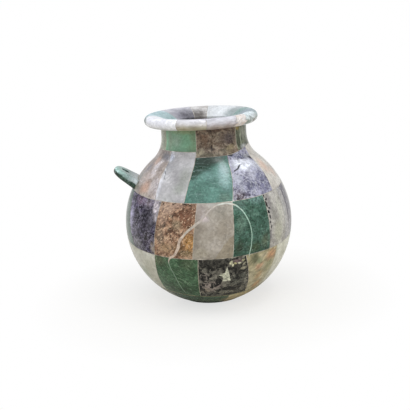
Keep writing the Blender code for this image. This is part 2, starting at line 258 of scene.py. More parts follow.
class Matter(Nodes):
    """A material as it is made up: its nodes, its colour so far, and where a point is in rough rock.

    A stone is cut at a place of its own, drawn from its seed, and faces an azimuth. Its places waver by
    about this many mm, so that no mark in it is straight. Resin has no seed and no waver. Sizes are in mm.
    """

    SWIRLS = 5
    REACH = 3
    CLOUDS_FROM, CLOUDS_TO = 0.37, 0.63
    SAND_SIZE, SAND_SHARE = 1.5, 2.4
    GRAINS_FROM, GRAINS_TO = 0.7, 2.7
    SCUFFS = 2.2
    RIPPLE = 0.06
    AS_TURNED = 0.5

    def __init__(self, name, seed=None, facing=0, waver=1.0):
        self.material = bpy.data.materials.new(name)
        super().__init__(self.material)
        self.facing = facing
        self.here = self.rough = place = self.add("TexCoord", {}, "Object")
        if seed is not None:
            swirls = {"Vector": place, "Scale": 1000 / self.SWIRLS, "Detail": 3.0}
            swirl = self.add("TexNoise", swirls, "Color")
            reach = self.REACH * waver / 1000
            home = self.add("VectorMath", {0: place, 1: (-reach / 2,) * 3}, operation="ADD")
            moved = {0: swirl, 1: (reach,) * 3, 2: home}
            self.here = self.add("VectorMath", moved, operation="MULTIPLY_ADD")
            far = np.random.default_rng(seed).uniform(-1, 1, 3).tolist()
            self.rough = self.add("VectorMath", {0: self.here, 1: far}, operation="ADD")

    def clouded(self, size, colours):
        """Begins the colour with soft clouds of close colours, from a noise of this many mm."""
        clouds = self.add("TexNoise", {"Vector": self.rough, "Scale": 1000 / size, "Detail": 4.0})
        places = np.linspace(self.CLOUDS_FROM, self.CLOUDS_TO, len(colours)).tolist()
        self.colour = self.add("ValToRGB", {0: clouds}, stops=tuple(zip(places, colours)))

    def painted(self, paint, cover):
        """Lays a paint over the colour so far, as much as a cover says."""
        paint = linear(paint) if isinstance(paint, str) else paint
        self.colour = self.add("Mix", {0: cover, 6: self.colour, 7: paint}, 2, data_type="RGBA")

    def marked(self, marks):
        """Lays the stone's own patches into its colour, one on another.

        Each has the azimuth and height of its middle in degrees and mm, its half width, half height and
        depth from the middle in mm, its tilt, its colour, how soft its edge is and how much of it covers.
        A patch is an ellipsoid; a wedge is a triangle that points up, by twice its width share plus its
        height share. The middle lies on the skin of the wall, and above the neck on the neck's, or on the
        lip's rim for a rim mark.
        """
        for azimuth, height, wide, high, tilt, paint, soft, share, *shape in marks:
            radius = LIP_RADIUS if "rim" in shape else skin_radius(height / 1000)
            local = {
                "Vector": self.here,
                "Location": turned(azimuth, radius, height / 1000).tolist(),
                "Rotation": (0, math.radians(tilt), math.radians(azimuth)),
                "Scale": (wide / 1000, max(wide, high, 5) / 1000, high / 1000),
            }
            from_middle = self.add("Mapping", local, vector_type="TEXTURE")
            if "wedge" in shape:
                axes = self.add("SeparateXYZ", {0: from_middle}).node.outputs
                wing = self.add("Math", {0: axes[0]}, operation="ABSOLUTE")
                slope = self.add("Math", {0: wing, 1: 2.0, 2: axes[2]}, operation="MULTIPLY_ADD")
                foot = self.add("Math", {0: axes[2], 1: -1.0}, operation="MULTIPLY")
                reach = self.add("Math", {0: slope, 1: foot}, operation="MAXIMUM")
            else:
                reach = self.add("VectorMath", {0: from_middle}, "Value", operation="LENGTH")
            edge = {"Value": reach, "From Min": 1 + soft, "From Max": 1 - soft, "To Max": share}
            self.painted(paint, self.add("MapRange", edge, interpolation_type="SMOOTHSTEP"))

    def facing_it(self, tilt, scale):
        """The rough rock along the stone's own skin, tilted down to the right and drawn out by a scale."""
        turn = (0, math.radians(tilt), math.radians(self.facing))
        way = {"Vector": self.rough, "Rotation": turn, "Scale": scale}
        return self.add("Mapping", way, vector_type="TEXTURE")

    def grained(self, size, amount, rough=None):
        """Lightens and darkens grain by grain: cells of this many mm, and a sand half as coarse again."""
        rough = self.rough if rough is None else rough
        cells = self.add("TexVoronoi", {"Vector": rough, "Scale": 1000 / size}, "Color")
        tone = self.add("SeparateColor", {0: cells})
        coarse = {"Vector": rough, "Scale": 1000 / (self.SAND_SIZE * size), "Detail": 3.0}
        sand = self.add("TexNoise", coarse)
        both = self.add("Math", {0: sand, 1: self.SAND_SHARE, 2: tone}, operation="MULTIPLY_ADD")
        reach = {
            "Value": both,
            "From Min": self.GRAINS_FROM,
            "From Max": self.GRAINS_TO,
            "To Min": 1 - 2 * amount,
            "To Max": 1 + 2 * amount,
        }
        light = {0: 1.0, 6: self.colour, 7: self.add("MapRange", reach)}
        self.colour = self.add("Mix", light, 2, data_type="RGBA", blend_type="MULTIPLY")

    def sprinkled(self, size, paint, low, high, share, rough=None):
        """Scatters specks of another colour where a noise of this many mm rises from low to high."""
        rough = self.rough if rough is None else rough
        noise = self.add("TexNoise", {"Vector": rough, "Scale": 1000 / size, "Detail": 2.0})
        rise = {"Value": noise, "From Min": low, "From Max": high, "To Max": share}
        self.painted(paint, self.add("MapRange", rise, interpolation_type="SMOOTHSTEP"))

    def veined(self, size, paint, width, share):
        """Draws thin crooked lines where a noise of this many mm crosses its middle value."""
        noise = self.add("TexNoise", {"Vector": self.rough, "Scale": 1000 / size, "Detail": 3.0})
        middle = self.add("Math", {0: noise, 1: 0.5}, operation="PINGPONG")
        line = {"Value": middle, "From Min": 0.5 - width, "From Max": 0.5, "To Max": share}
        self.painted(paint, self.add("MapRange", line))

    def polished(self, gloss, ripple=1.0):
        """Ends a stone's material: hand polished outside, with ripples 2 mm long, and as turned inside."""
        inside = self.add("Attribute", {}, "Fac", attribute_name="inside")
        noise = {"Vector": self.rough, "Scale": 1000 / self.SCUFFS, "Detail": 4.0}
        scuffs = self.add("TexNoise", noise)
        worn = self.add("MapRange", {"Value": scuffs, "To Min": gloss - 0.06, "To Max": gloss + 0.10})
        waves = {"Height": scuffs, "Strength": 1.0, "Distance": self.RIPPLE * ripple / 1000}
        shader = {
            "Base Color": self.colour,
            "Roughness": self.add("Mix", {0: inside, 2: worn, 3: self.AS_TURNED}, data_type="FLOAT"),
            "IOR": 1.54,
            "Specular IOR Level": 0.24,
            "Normal": self.add("Bump", waves),
        }
        self.add("OutputMaterial", {"Surface": self.add("BsdfPrincipled", shader)})
        return self.material


def aventurine(cut, colours, marks=(), cloud=9, thread="9dbfae", threads=0.2, tilt=0, sand=0.24):
    """Polished aventurine, quartz full of green mica plates: soft cloudy green, a fine glitter of plates
    about 1 mm across, and level sheets of them that show as thin paler threads."""
    stone = Matter(*cut)
    stone.clouded(cloud, colours)
    stone.marked(marks)
    stone.sprinkled(1000, thread, 0.54, 0.72, threads, stone.facing_it(tilt, (0.010, 0.006, 0.0010)))
    stone.sprinkled(1.5, thread, 0.60, 0.72, 1.2 * threads)
    stone.grained(1.3, sand)
    return stone.polished(0.15)


def jasper(cut, colours, marks=(), cloud=7, grain=1.5, contrast=0.16, specks=(), tilt=0, long=1.0):
    """Polished jasper, opaque quartz stained by iron: clouds of close earth colours, set in sandy grains
    a millimetre or so across, with specks where other minerals run through it."""
    stone = Matter(*cut)
    stone.clouded(cloud, colours)
    stone.marked(marks)
    streaks = stone.facing_it(tilt, (long, 1, 1))
    stone.grained(grain, contrast, streaks)
    for paint, size, low, high, share in specks:
        stone.sprinkled(size, paint, low, high, share, streaks)
    return stone.polished(0.18)


def quartz(cut, colours, marks=(), flaws=0.35, sugar=0.09):
    """Polished milky quartz: broad faint clouds, a sugar of grains that hardly differ, and healed cracks
    that show as fine paler lines."""
    stone = Matter(*cut)
    stone.clouded(15, colours)
    stone.marked(marks)
    stone.veined(16, "efecea", 0.010, flaws)
    stone.grained(1.8, sugar)
    return stone.polished(0.14)


def lay_ring(title, row, chains, mean_radius, seed):
    """Makes each stone of a ring: its section swept from seam to seam, and its own cut of rock."""
    for number, left, right, slot, rock, look in stones_of(row):
        name = f"{title}_stone_{number:02d}"
        middle = (sum(left) + sum(right)) / 4
        across = sawn(math.radians((sum(right) - sum(left)) / 2) * mean_radius)
        shape = swept(chains, left, right, across, GLUE / 2, 0.0)
        made(f"{name}_polished", [shape], rock((f"{slot}_{name}", seed + number, middle), **look), name)


BASE_ROW = (
    ((-55, -55), "dark_aventurine", aventurine, dict(colours=("334433", "4b634f"), marks=(
        (8, 6.5, 30, 2.0, 0, "5c6a4e", 0.4, 0.8), (15, 5, 3.4, 7, 0, "8f866a", 0.5, 0.85),
    ))),
    ((17, 17), "tan_jasper", jasper, dict(colours=("aa9b73", "c2b288", "d4c8a4"))),
    ((89, 89), "grey_quartz", quartz, dict(colours=("96907f", "aba595", "bdb9ab"))),
    ((161, 161), "dark_aventurine", aventurine, dict(colours=("2c4b3b", "466e5a"))),
    ((233, 233), "cream_jasper", jasper, dict(colours=("a19c84", "bab49c", "cac5b1"))),
)
lay_ring("base", BASE_ROW, base_chains, BASE_MEAN_RADIUS, 0)


# Base plug
# A disc of white quartz cut with a core drill, glued into the middle of the floor and ground flush
# with the foot below. It closes the hole by which the vase was held on the lathe.
NEAR_AXIS = 0.00001


def plug_chains(azimuth, inset):
    """Radii and heights of half the plug: out along its foot and up its side, and out along its top.

    Both chains start close to the axis, and a ground arris eases both corners by a quarter circle.
    """
    turn = np.radians(np.linspace(0, 90, 4))[None, :]
    ones = np.ones_like(azimuth)
    flat_edge = PLUG_RADIUS - GLUE / 2 - ARRIS
    flat = np.linspace(NEAR_AXIS, flat_edge, 8)[None, :] * ones
    radius = np.concatenate((flat, (flat_edge + ARRIS * np.sin(turn)) * ones), axis=1)
    foot = np.concatenate((0 * flat, ARRIS * (1 - np.cos(turn)) * ones), axis=1)
    return (radius, foot), (radius, FLOOR_THICKNESS - foot)


plug = swept(plug_chains, (0, 0), (360, 360), np.linspace(0, 1, 73), 0.0, 0.0)
plug_quartz = quartz(("white_quartz_base_plug", 6), ("bab6b0", "cdcac5", "dad8d4"))
made("base_plug_polished", [plug], plug_quartz, "base_plug")


# Lower stones
# Ten blocks on the base. Each is sawn square, glued to its neighbours and turned to the ball's wall.
# The black one at the front is dendritic agate, with pale wedges of chalcedony caught in it.
belly_seam = ring_seam(-12.0, 4.6, 8)


def walled(left, right, low_seam, high_seam, across, up, side, end, inset):
    """One block of the turned wall between two slanted seams and two ring seams.

    A point's path runs from the low seam to the high one by its share up. Its azimuth runs between the
    two slanted seams, which lean evenly from the low seam to the high one, by its share across. The ring
    seams follow the azimuth, so three rounds settle the two.
    """
    middle = (sum(left) + sum(right)) / 4
    bottom = low_seam(0, 0)
    length = high_seam(0, 0) - bottom
    across, up = across[:, None], up[None, :]
    sides = []
    for depth in (inset, WALL - inset):
        azimuth = middle + 0 * across * up
        for _ in range(3):
            low, high = low_seam(azimuth, middle) + end, high_seam(azimuth, middle) - end
            path = low + (high - low) * up
            radius, height = wall_point(path, depth)
            lean = (path - bottom) / length
            gap = np.degrees(np.arcsin(side / radius))
            start = left[1] + (left[0] - left[1]) * lean + gap
            stop = right[1] + (right[0] - right[1]) * lean - gap
            azimuth = start + (stop - start) * across
        sides.append(turned(azimuth, radius, height))
    return block(*sides)


IRON_STAINS = ("ab8d70", "85827c", "c9c2b4")


def stained(seed, sides, ends, paints):
    """Patches for a stone with none of its own: soft ones 4 to 18 mm across, at places drawn from a seed."""
    draw = np.random.default_rng(seed)
    patches = []
    for paint, share in zip(paints, (0.65, 0.65, 0.3) * 2):
        middle = draw.uniform(*sides), draw.uniform(*ends)
        size = draw.uniform(2, 9), draw.uniform(2, 6)
        patches.append((*middle, *size, draw.uniform(-60, 60), paint, 0.9, share))
    return tuple(patches)


def lay_row(title, row, low_seam, high_seam, seed):
    """Makes each stone of one row of the wall, with its arrises eased and its own cut of rock."""
    for number, left, right, slot, rock, look in stones_of(row):
        name = f"{title}_stone_{number:02d}"
        middle = (sum(left) + sum(right)) / 4
        low, high = low_seam(middle, middle), high_seam(middle, middle)
        width = math.radians((sum(right) - sum(left)) / 2) * float(wall_point((low + high) / 2, 0)[0])
        height = float(high - low)
        across, up = sawn(width), sawn(height)
        inset = eased(across, up, width, height)
        shape = walled(left, right, low_seam, high_seam, across, up, GLUE / 2, GLUE / 2, inset)
        if "marks" not in look:
            ends = [float(wall_point(path, 0)[1]) * 1000 for path in (low, high)]
            own = (look["colours"][0], look["colours"][-1])
            paints = (*own, IRON_STAINS[number % 3], *own, IRON_STAINS[(number + 1) % 3])
            look = dict(look, marks=stained(seed + number, (left[0], right[0]), ends, paints))
        made(f"{name}_polished", [shape], rock((f"{slot}_{name}", seed + number, middle), **look), name)


def amethyst(cut, colours, marks=(), cloud=9, frost="a9a4b2", frosting=0.36, contrast=0.34, laid=()):
    """Polished amethyst, purple quartz grown in points: crystals 3 mm across that each have their own depth
    of colour, with crooked lines of white frost where they meet."""
    stone = Matter(*cut)
    stone.clouded(cloud, colours)
    stone.marked(marks)
    stone.grained(3.2, contrast)
    stone.veined(4.5, frost, 0.045, frosting)
    stone.sprinkled(2.2, frost, 0.54, 0.68, 0.6 * frosting)
    stone.grained(1.2, 0.7 * contrast)
    stone.marked(laid)
    return stone.polished(0.15, 1.6)


def dendritic_agate(cut, marks=(), laid=()):
    """Polished dendritic agate: black manganese grown through mauve and slate chalcedony in ferns and lumps
    with crisp edges, 2 to 8 mm across, peppered with both. Pale pieces caught in it lie over the black."""
    stone = Matter(*cut, waver=0.8)
    lumps = {"Vector": stone.rough, "Scale": 1000 / 6, "Detail": 8.0, "Roughness": 0.68, "Distortion": 0.6}
    growth = stone.add("TexNoise", lumps)
    stone.colour = stone.add("ValToRGB", {0: growth}, stops=((0.40, "726f65"), (0.56, "3a3831")))
    stone.marked(marks)
    stone.veined(3.5, "a19c90", 0.028, 0.35)
    black = {"Value": growth, "From Min": 0.49, "From Max": 0.535, "To Max": 1.0}
    stone.painted("090806", stone.add("MapRange", black))
    stone.sprinkled(1.6, "a7a395", 0.62, 0.69, 0.45)
    stone.marked(laid)
    stone.grained(1.5, 0.36)
    return stone.polished(0.15)


LOWER_ROW = (
    ((-88, -88), "cream_jasper", jasper, dict(colours=("b0ae9c", "c1bfb0", "cfcdc1"), cloud=12,
        contrast=0.10, marks=(
        (-62, 34, 6, 7, 0, "8d9880", 0.8, 0.6),
    ))),
    ((-40.5, -50), "dark_aventurine", aventurine, dict(colours=("29482b", "4b6a4e"), thread="93aa8c",
        threads=0.34, tilt=40, cloud=7, sand=0.34, marks=(
        (-38, 52, 7, 5, 0, "5d6048", 0.7, 0.6), (-16, 50, 6, 5, 0, "4f5a42", 0.7, 0.6),
        (-28, 22, 14, 5, 0, "294028", 0.7, 0.7),
    ))),
    ((-8.4, -12), "dendritic_agate", dendritic_agate, dict(marks=(
        (-5.5, 37, 4.5, 5, 0, "857d76", 0.4, 0.9), (-1, 26, 9, 6, 0, "938780", 0.4, 0.95),
        (-6, 22, 4, 3, 0, "968b7b", 0.5, 0.8), (21, 33, 6, 9, 20, "4c4e46", 0.5, 0.9),
        (14, 21, 10, 4.5, 0, "727064", 0.5, 0.85), (20, 41, 6, 5, 0, "2c2a26", 0.6, 0.8),
    ), laid=(
        (1, 50, 13, 5, 0, "15140f", 0.6, 0.75), (18, 45, 5, 4, 0, "1d1b16", 0.7, 0.7),
        (11.0, 38.8, 3.6, 7.2, 0, "c9cab6", 0.08, 0.95, "wedge"),
        (8.2, 38.2, 3.1, 3.9, -90, "c2c3ae", 0.08, 0.95, "wedge"),
        (9.6, 36.4, 1.9, 1.9, 0, "c6c7b2", 0.12, 0.95), (18.5, 50.5, 4, 1.8, 0, "6f5c5c", 0.6, 0.85),
        (13.4, 49.4, 1.5, 1.5, 0, "d2cfae", 0.4, 0.95), (14.8, 47.0, 1.1, 1.4, 0, "d8d4b4", 0.4, 0.9),
        (16.6, 48.4, 1.3, 0.9, 30, "bdb886", 0.4, 0.9), (19.6, 48.4, 1.7, 0.9, 20, "d5d2b6", 0.5, 0.9),
        (22.4, 50.6, 1.4, 1.0, -20, "cdc99f", 0.5, 0.9), (23.0, 47.0, 2.0, 0.8, -35, "8f8b76", 0.5, 0.8),
        (23.0, 43.2, 2.6, 1.4, -15, "9a9580", 0.5, 0.9), (26, 52, 1.6, 4, 0, "8d8876", 0.5, 0.7),
    ))),
    ((24, 34), "tan_jasper", jasper, dict(colours=("8f896b", "aaa180", "beb496"), cloud=6, contrast=0.20,
        long=2.0, tilt=-40, marks=(
        (46.5, 48.8, 5.5, 5, 0, "bc8f69", 0.7, 0.9), (36.5, 41, 4.5, 3.2, -25, "b89173", 0.7, 0.85),
        (39, 31, 3.5, 5, 20, "b09067", 0.6, 0.7), (43, 20, 4, 6, 0, "b0875a", 0.6, 0.8),
        (31, 50, 4, 6, 0, "62644a", 0.6, 0.85), (36, 46, 3, 3, 0, "7f8a6c", 0.6, 0.7),
        (47, 40, 4, 6, 0, "93946f", 0.6, 0.6), (30, 28, 3.0, 14, 10, "bbb195", 0.7, 0.75),
        (50, 30, 2.5, 10, 10, "b3b096", 0.6, 0.6),
    ))),
    ((52, 52), "cream_jasper", jasper, dict(colours=("b6b59f", "c9c8b5", "dbdacb"), cloud=10,
        contrast=0.11)),
    ((92, 92), "dark_amethyst", amethyst, dict(colours=("2a2533", "423c4f", "625b6f"))),
    ((128, 128), "grey_quartz", quartz, dict(colours=("8f887a", "a39d90", "b6b0a4"))),
    ((164, 164), "olive_jasper", jasper, dict(colours=("57614a", "737b5e", "8f9375"))),
    ((200, 200), "dark_amethyst", amethyst, dict(colours=("2e2839", "474056", "6a6277"))),
    ((236, 236), "green_aventurine", aventurine, dict(colours=("4b7461", "769f89"))),
)
lay_row("lower", LOWER_ROW, base_seam, belly_seam, 10)


# Belly stones
# Thirteen blocks round the widest ring, and the ones that show best: dark amethyst, brown jasper, a
# warm grey quartz, dark aventurine, pink granite with pits along its edge, and banded amethyst agate.
shoulder_seam = ring_seam(24.7, 3.6, 12)


def granite(cut, colours, marks=(), grain=1.7, blend=0.5, specks=()):
    """Polished pink granite: crystals of feldspar, quartz and mica about 2 mm across, each of its own tone
    within soft clouds of colour, with small black pits where mica has come out."""
    stone = Matter(*cut)
    stone.clouded(9, colours)
    cells = stone.add("TexVoronoi", {"Vector": stone.rough, "Scale": 1000 / grain}, "Color")
    pick = stone.add("SeparateColor", {0: cells})
    places = np.linspace(0.1, 0.9, len(colours)).tolist()
    stone.painted(stone.add("ValToRGB", {0: pick}, stops=tuple(zip(places, colours))), blend)
    stone.marked(marks)
    for paint, size, low, high, share in specks:
        stone.sprinkled(size, paint, low, high, share)
    stone.grained(1.1, 0.16)
    return stone.polished(0.17)


AGATE_BAND = 26
AGATE_TOOTH = 4.5


def banded_agate(cut, stops, marks):
    """Polished chevron amethyst: upright bands of purple and white quartz, bent to a zigzag 9 mm high where
    the crystal points of one band grew into the next."""
    stone = Matter(*cut)
    local = stone.add("SeparateXYZ", {0: stone.facing_it(0, (0.001,) * 3)}).node.outputs
    tooth = stone.add("Math", {0: local[2], 1: AGATE_TOOTH}, operation="PINGPONG")
    across = stone.add("Math", {0: tooth, 1: 0.8, 2: local[0]}, operation="MULTIPLY_ADD")
    share = stone.add("Math", {0: across, 1: AGATE_BAND}, operation="PINGPONG")
    place = stone.add("Math", {0: share, 1: AGATE_BAND}, operation="DIVIDE")
    stone.colour = stone.add("ValToRGB", {0: place}, stops=stops)
    stone.marked(marks)
    stone.sprinkled(1.8, "c2c0c4", 0.56, 0.72, 0.5)
    stone.grained(1.4, 0.20)
    return stone.polished(0.15)


BELLY_ROW = (
    ((-98, -98), "green_aventurine", aventurine, dict(colours=("4f6259", "6c7c73"), cloud=12, threads=0.1,
        marks=(
        (-80, 101, 8, 8, 0, "27443a", 0.7, 0.9), (-90, 92, 4, 7, 20, "57706a", 0.8, 0.6),
        (-84, 78, 5, 6, 0, "7f867c", 0.9, 0.5), (-92, 68, 5, 4, -30, "4f5a4f", 0.9, 0.6),
    ))),
    ((-73, -62), "dark_amethyst", amethyst, dict(colours=("120c1c", "1f1830", "3f3652"), cloud=7,
        frost="aaa4b6", frosting=0.52, contrast=0.40, marks=(
        (-56, 101, 7, 4, 0, "6e5a6c", 0.6, 0.8), (-46, 100, 5, 5, 0, "8a8088", 0.7, 0.8),
        (-38.0, 97, 4.3, 12, 5, "b7afb1", 0.35, 0.95), (-47, 85, 7.5, 10, 0, "0f0a19", 0.7, 0.92),
        (-58, 84, 4, 10, 0, "18121f", 0.8, 0.8), (-66, 84, 4, 11, 0, "a5a1bb", 0.7, 0.8),
        (-43, 86, 3, 8, 0, "77747d", 0.7, 0.7), (-58, 76, 5, 7, 0, "5a5663", 0.7, 0.6),
        (-46, 70, 5, 6, 0, "332c30", 0.7, 0.7), (-58, 64, 7, 4, 0, "787576", 0.6, 0.7),
        (-40.5, 62.5, 3.4, 4.6, 0, "938674", 0.6, 0.85),
    ), laid=(
        (-46, 86, 7, 9.5, 0, "120d1c", 0.8, 0.55), (-55, 72, 6, 6, 0, "232029", 0.9, 0.3),
    ))),
    ((-35, -40.5), "brown_jasper", jasper, dict(colours=("5a4233", "86654f", "a5846a", "bd9e84"), cloud=4.5,
        grain=1.1, contrast=0.34, tilt=-38, long=2.2, marks=(
        (-30, 98, 7, 6, 0, "ae9684", 0.7, 0.8), (-21, 102, 6, 5, 0, "b69a88", 0.6, 0.8),
        (-16, 90, 5, 6, 0, "8a5c45", 0.8, 0.7), (-13, 93, 8, 10, 0, "674838", 0.8, 0.75),
        (-32, 88, 4, 5, 0, "9b8372", 0.7, 0.7), (-21.6, 84.4, 4, 4, 0, "93836b", 0.6, 0.8),
        (-34, 74, 4, 9, 0, "8f7c69", 0.7, 0.7), (-13, 69, 6, 7, 10, "b88a4e", 0.7, 0.8),
        (-30, 64, 6, 4, 0, "a58868", 0.6, 0.8), (-21, 64, 5, 5, 0, "634a2b", 0.6, 0.7),
        (-16, 60, 6, 3, 0, "877858", 0.6, 0.7), (-25.5, 91.5, 2.2, 1.5, 35, "2c2b2a", 0.5, 0.8),
        (-30.8, 83.0, 2.6, 1.3, -40, "33322f", 0.6, 0.7), (-27.0, 80.5, 1.8, 1.0, -40, "33322f", 0.6, 0.6),
        (-33.5, 101.2, 1.5, 0.8, 20, "2b251f", 0.6, 0.85),
        (-24.5, 101.5, 1.8, 0.8, -10, "2b251f", 0.6, 0.85),
        (-16.5, 101.2, 2.0, 0.9, 15, "241f1a", 0.6, 0.85), (-12.5, 100.6, 1.2, 1.3, 0, "2b251f", 0.6, 0.8),
    ), specks=(("3a2f26", 1.3, 0.60, 0.68, 0.85), ("e2c4a4", 1.2, 0.60, 0.67, 0.75)))),
    ((-7.5, -12), "grey_quartz", quartz, dict(colours=("988f83", "a69e92", "b2aaa0"), flaws=0.1, sugar=0.14,
        marks=(
        (-7, 95, 8, 8, 0, "978c86", 0.7, 0.8), (2, 101, 6, 3, 30, "bcb8b2", 0.7, 0.8),
        (9, 93, 7, 8, 40, "948f84", 0.8, 0.75), (10, 79, 6, 10, 0, "948b7d", 0.9, 0.7),
        (-2.6, 89.4, 2.8, 2.4, 30, "cfc3c3", 0.7, 0.85), (-9, 76, 3, 10, 0, "8b8276", 0.8, 0.7),
        (15.5, 60, 24, 10.5, -48, "948975", 0.05, 0.75), (-6, 60, 6, 4, 0, "aaa291", 0.6, 0.7),
    ))),
    ((17.3, 14.6), "dark_aventurine", aventurine, dict(colours=("2c4a3b", "47685a"), cloud=6, threads=0.14,
        sand=0.37, thread="a3bbae", marks=(
        (22, 83, 4, 7, 20, "6a8575", 0.8, 0.7), (24, 99, 5, 4, 0, "567468", 0.8, 0.6),
        (37, 100, 7, 4, 0, "6c8a83", 0.7, 0.75), (30, 90, 5, 6, 0, "4d6c5d", 0.8, 0.6),
        (19, 63, 4, 5, 0, "2b3a29", 0.8, 0.9), (30, 60, 6, 4, 0, "3b482f", 0.8, 0.8),
        (39, 64, 4, 5, 0, "5c6650", 0.8, 0.7),
    ))),
    ((43.5, 43.5), "pink_granite", granite, dict(colours=("8a8680", "a5a19b", "bbb7af", "cdcbc2"),
        blend=0.35, marks=(
        (47.5, 96, 3, 10, 0, "8b8685", 0.6, 0.8), (55, 99, 4, 8, 0, "b9b5af", 0.6, 0.8),
        (57, 84, 3, 12, 0, "c0bfb2", 0.6, 0.8), (50, 84, 3, 8, 0, "8f8d86", 0.6, 0.7),
        (53, 68, 6, 9, 0, "b2b19e", 0.6, 0.8), (43.9, 101.2, 1.2, 1.7, 10, "121113", 0.4, 1.0),
        (45.2, 98.2, 1.6, 0.9, -30, "17161a", 0.5, 1.0), (44.2, 93.8, 1.0, 3.0, -12, "121113", 0.4, 1.0),
        (45.8, 90.2, 1.3, 0.8, 0, "2a282c", 0.5, 0.9), (44.6, 87.0, 1.7, 1.5, 20, "17161a", 0.4, 1.0),
        (45.2, 82.6, 0.8, 2.3, -6, "1c1b20", 0.4, 0.95), (44.2, 78.4, 1.2, 1.1, 0, "232227", 0.5, 0.9),
        (45.2, 74.4, 0.9, 1.9, 8, "28272e", 0.4, 0.9), (44.1, 70.6, 1.2, 0.8, 0, "3a3940", 0.5, 0.8),
        (44.0, 67.0, 1.2, 4.5, 6, "63616a", 0.5, 0.8),
    ), specks=(("3a3840", 1.3, 0.66, 0.72, 0.8),))),
    ((62, 62), "banded_agate", banded_agate, dict(
        stops=((0.0, "adaaa7"), (0.3, "7f7d83"), (0.5, "565360"), (0.7, "878489"), (1.0, "bcb9b2")), marks=(
        (63, 82, 2.0, 20, 0, "b9b8b2", 0.6, 0.85), (70, 88, 1.8, 18, 3, "4a4756", 0.5, 0.9),
    ))),
    ((86, 86), "cream_jasper", jasper, dict(colours=("a09e88", "b8b6a0", "c7c5b2"))),
    ((114, 114), "green_aventurine", aventurine, dict(colours=("4b7461", "739f89"))),
    ((142, 142), "mauve_jasper", jasper, dict(colours=("86716b", "a08a84", "b9a69c"), contrast=0.22)),
    ((170, 170), "white_quartz", quartz, dict(colours=("b6b2ad", "cac6c1", "d9d6d2"))),
    ((200, 200), "brown_jasper", jasper, dict(colours=("55412d", "745a41", "917558", "a88d6f"),
        contrast=0.3, tilt=30, long=2.2,
        specks=(("2b2621", 1.5, 0.61, 0.69, 0.8), ("d3bda0", 1.7, 0.60, 0.69, 0.6)))),
    ((231, 231), "light_amethyst", amethyst, dict(colours=("6f6a80", "8b869c", "a9a5b8"), frost="d5d3dc")),
)
lay_row("belly", BELLY_ROW, belly_seam, shoulder_seam, 30)


# Shoulder stones
# Nine long blocks that run from the ball into the hollow of the neck: they are glued, then the hollow is
# turned through them. White quartz and teal aventurine are at the front, light amethyst to the right.
STEP_AZIMUTH = -10.5
STEP_DOWN_TO = 30.0
CLIMB_FROM = 35
CLIMB_OVER = 50
CLIMB = 10.0


def neck_seam(azimuth, middle):
    """Path of the ring seam under the neck: one saw step down at the front, then a smooth climb to the right.

    Its place on the fillet is an angle down from where the neck runs straight. The climb is by three
    times the squared share of the way less twice its cube.
    """
    turn = (middle - STEP_AZIMUTH) % 360 + azimuth - middle
    climb = np.clip((turn - CLIMB_FROM) / CLIMB_OVER, 0, 1)
    bend = np.radians(STEP_DOWN_TO - CLIMB * climb * climb * (3 - 2 * climb))
    return BELLY_RADIUS * TANGENT + NECK_FILLET * (TANGENT - bend)


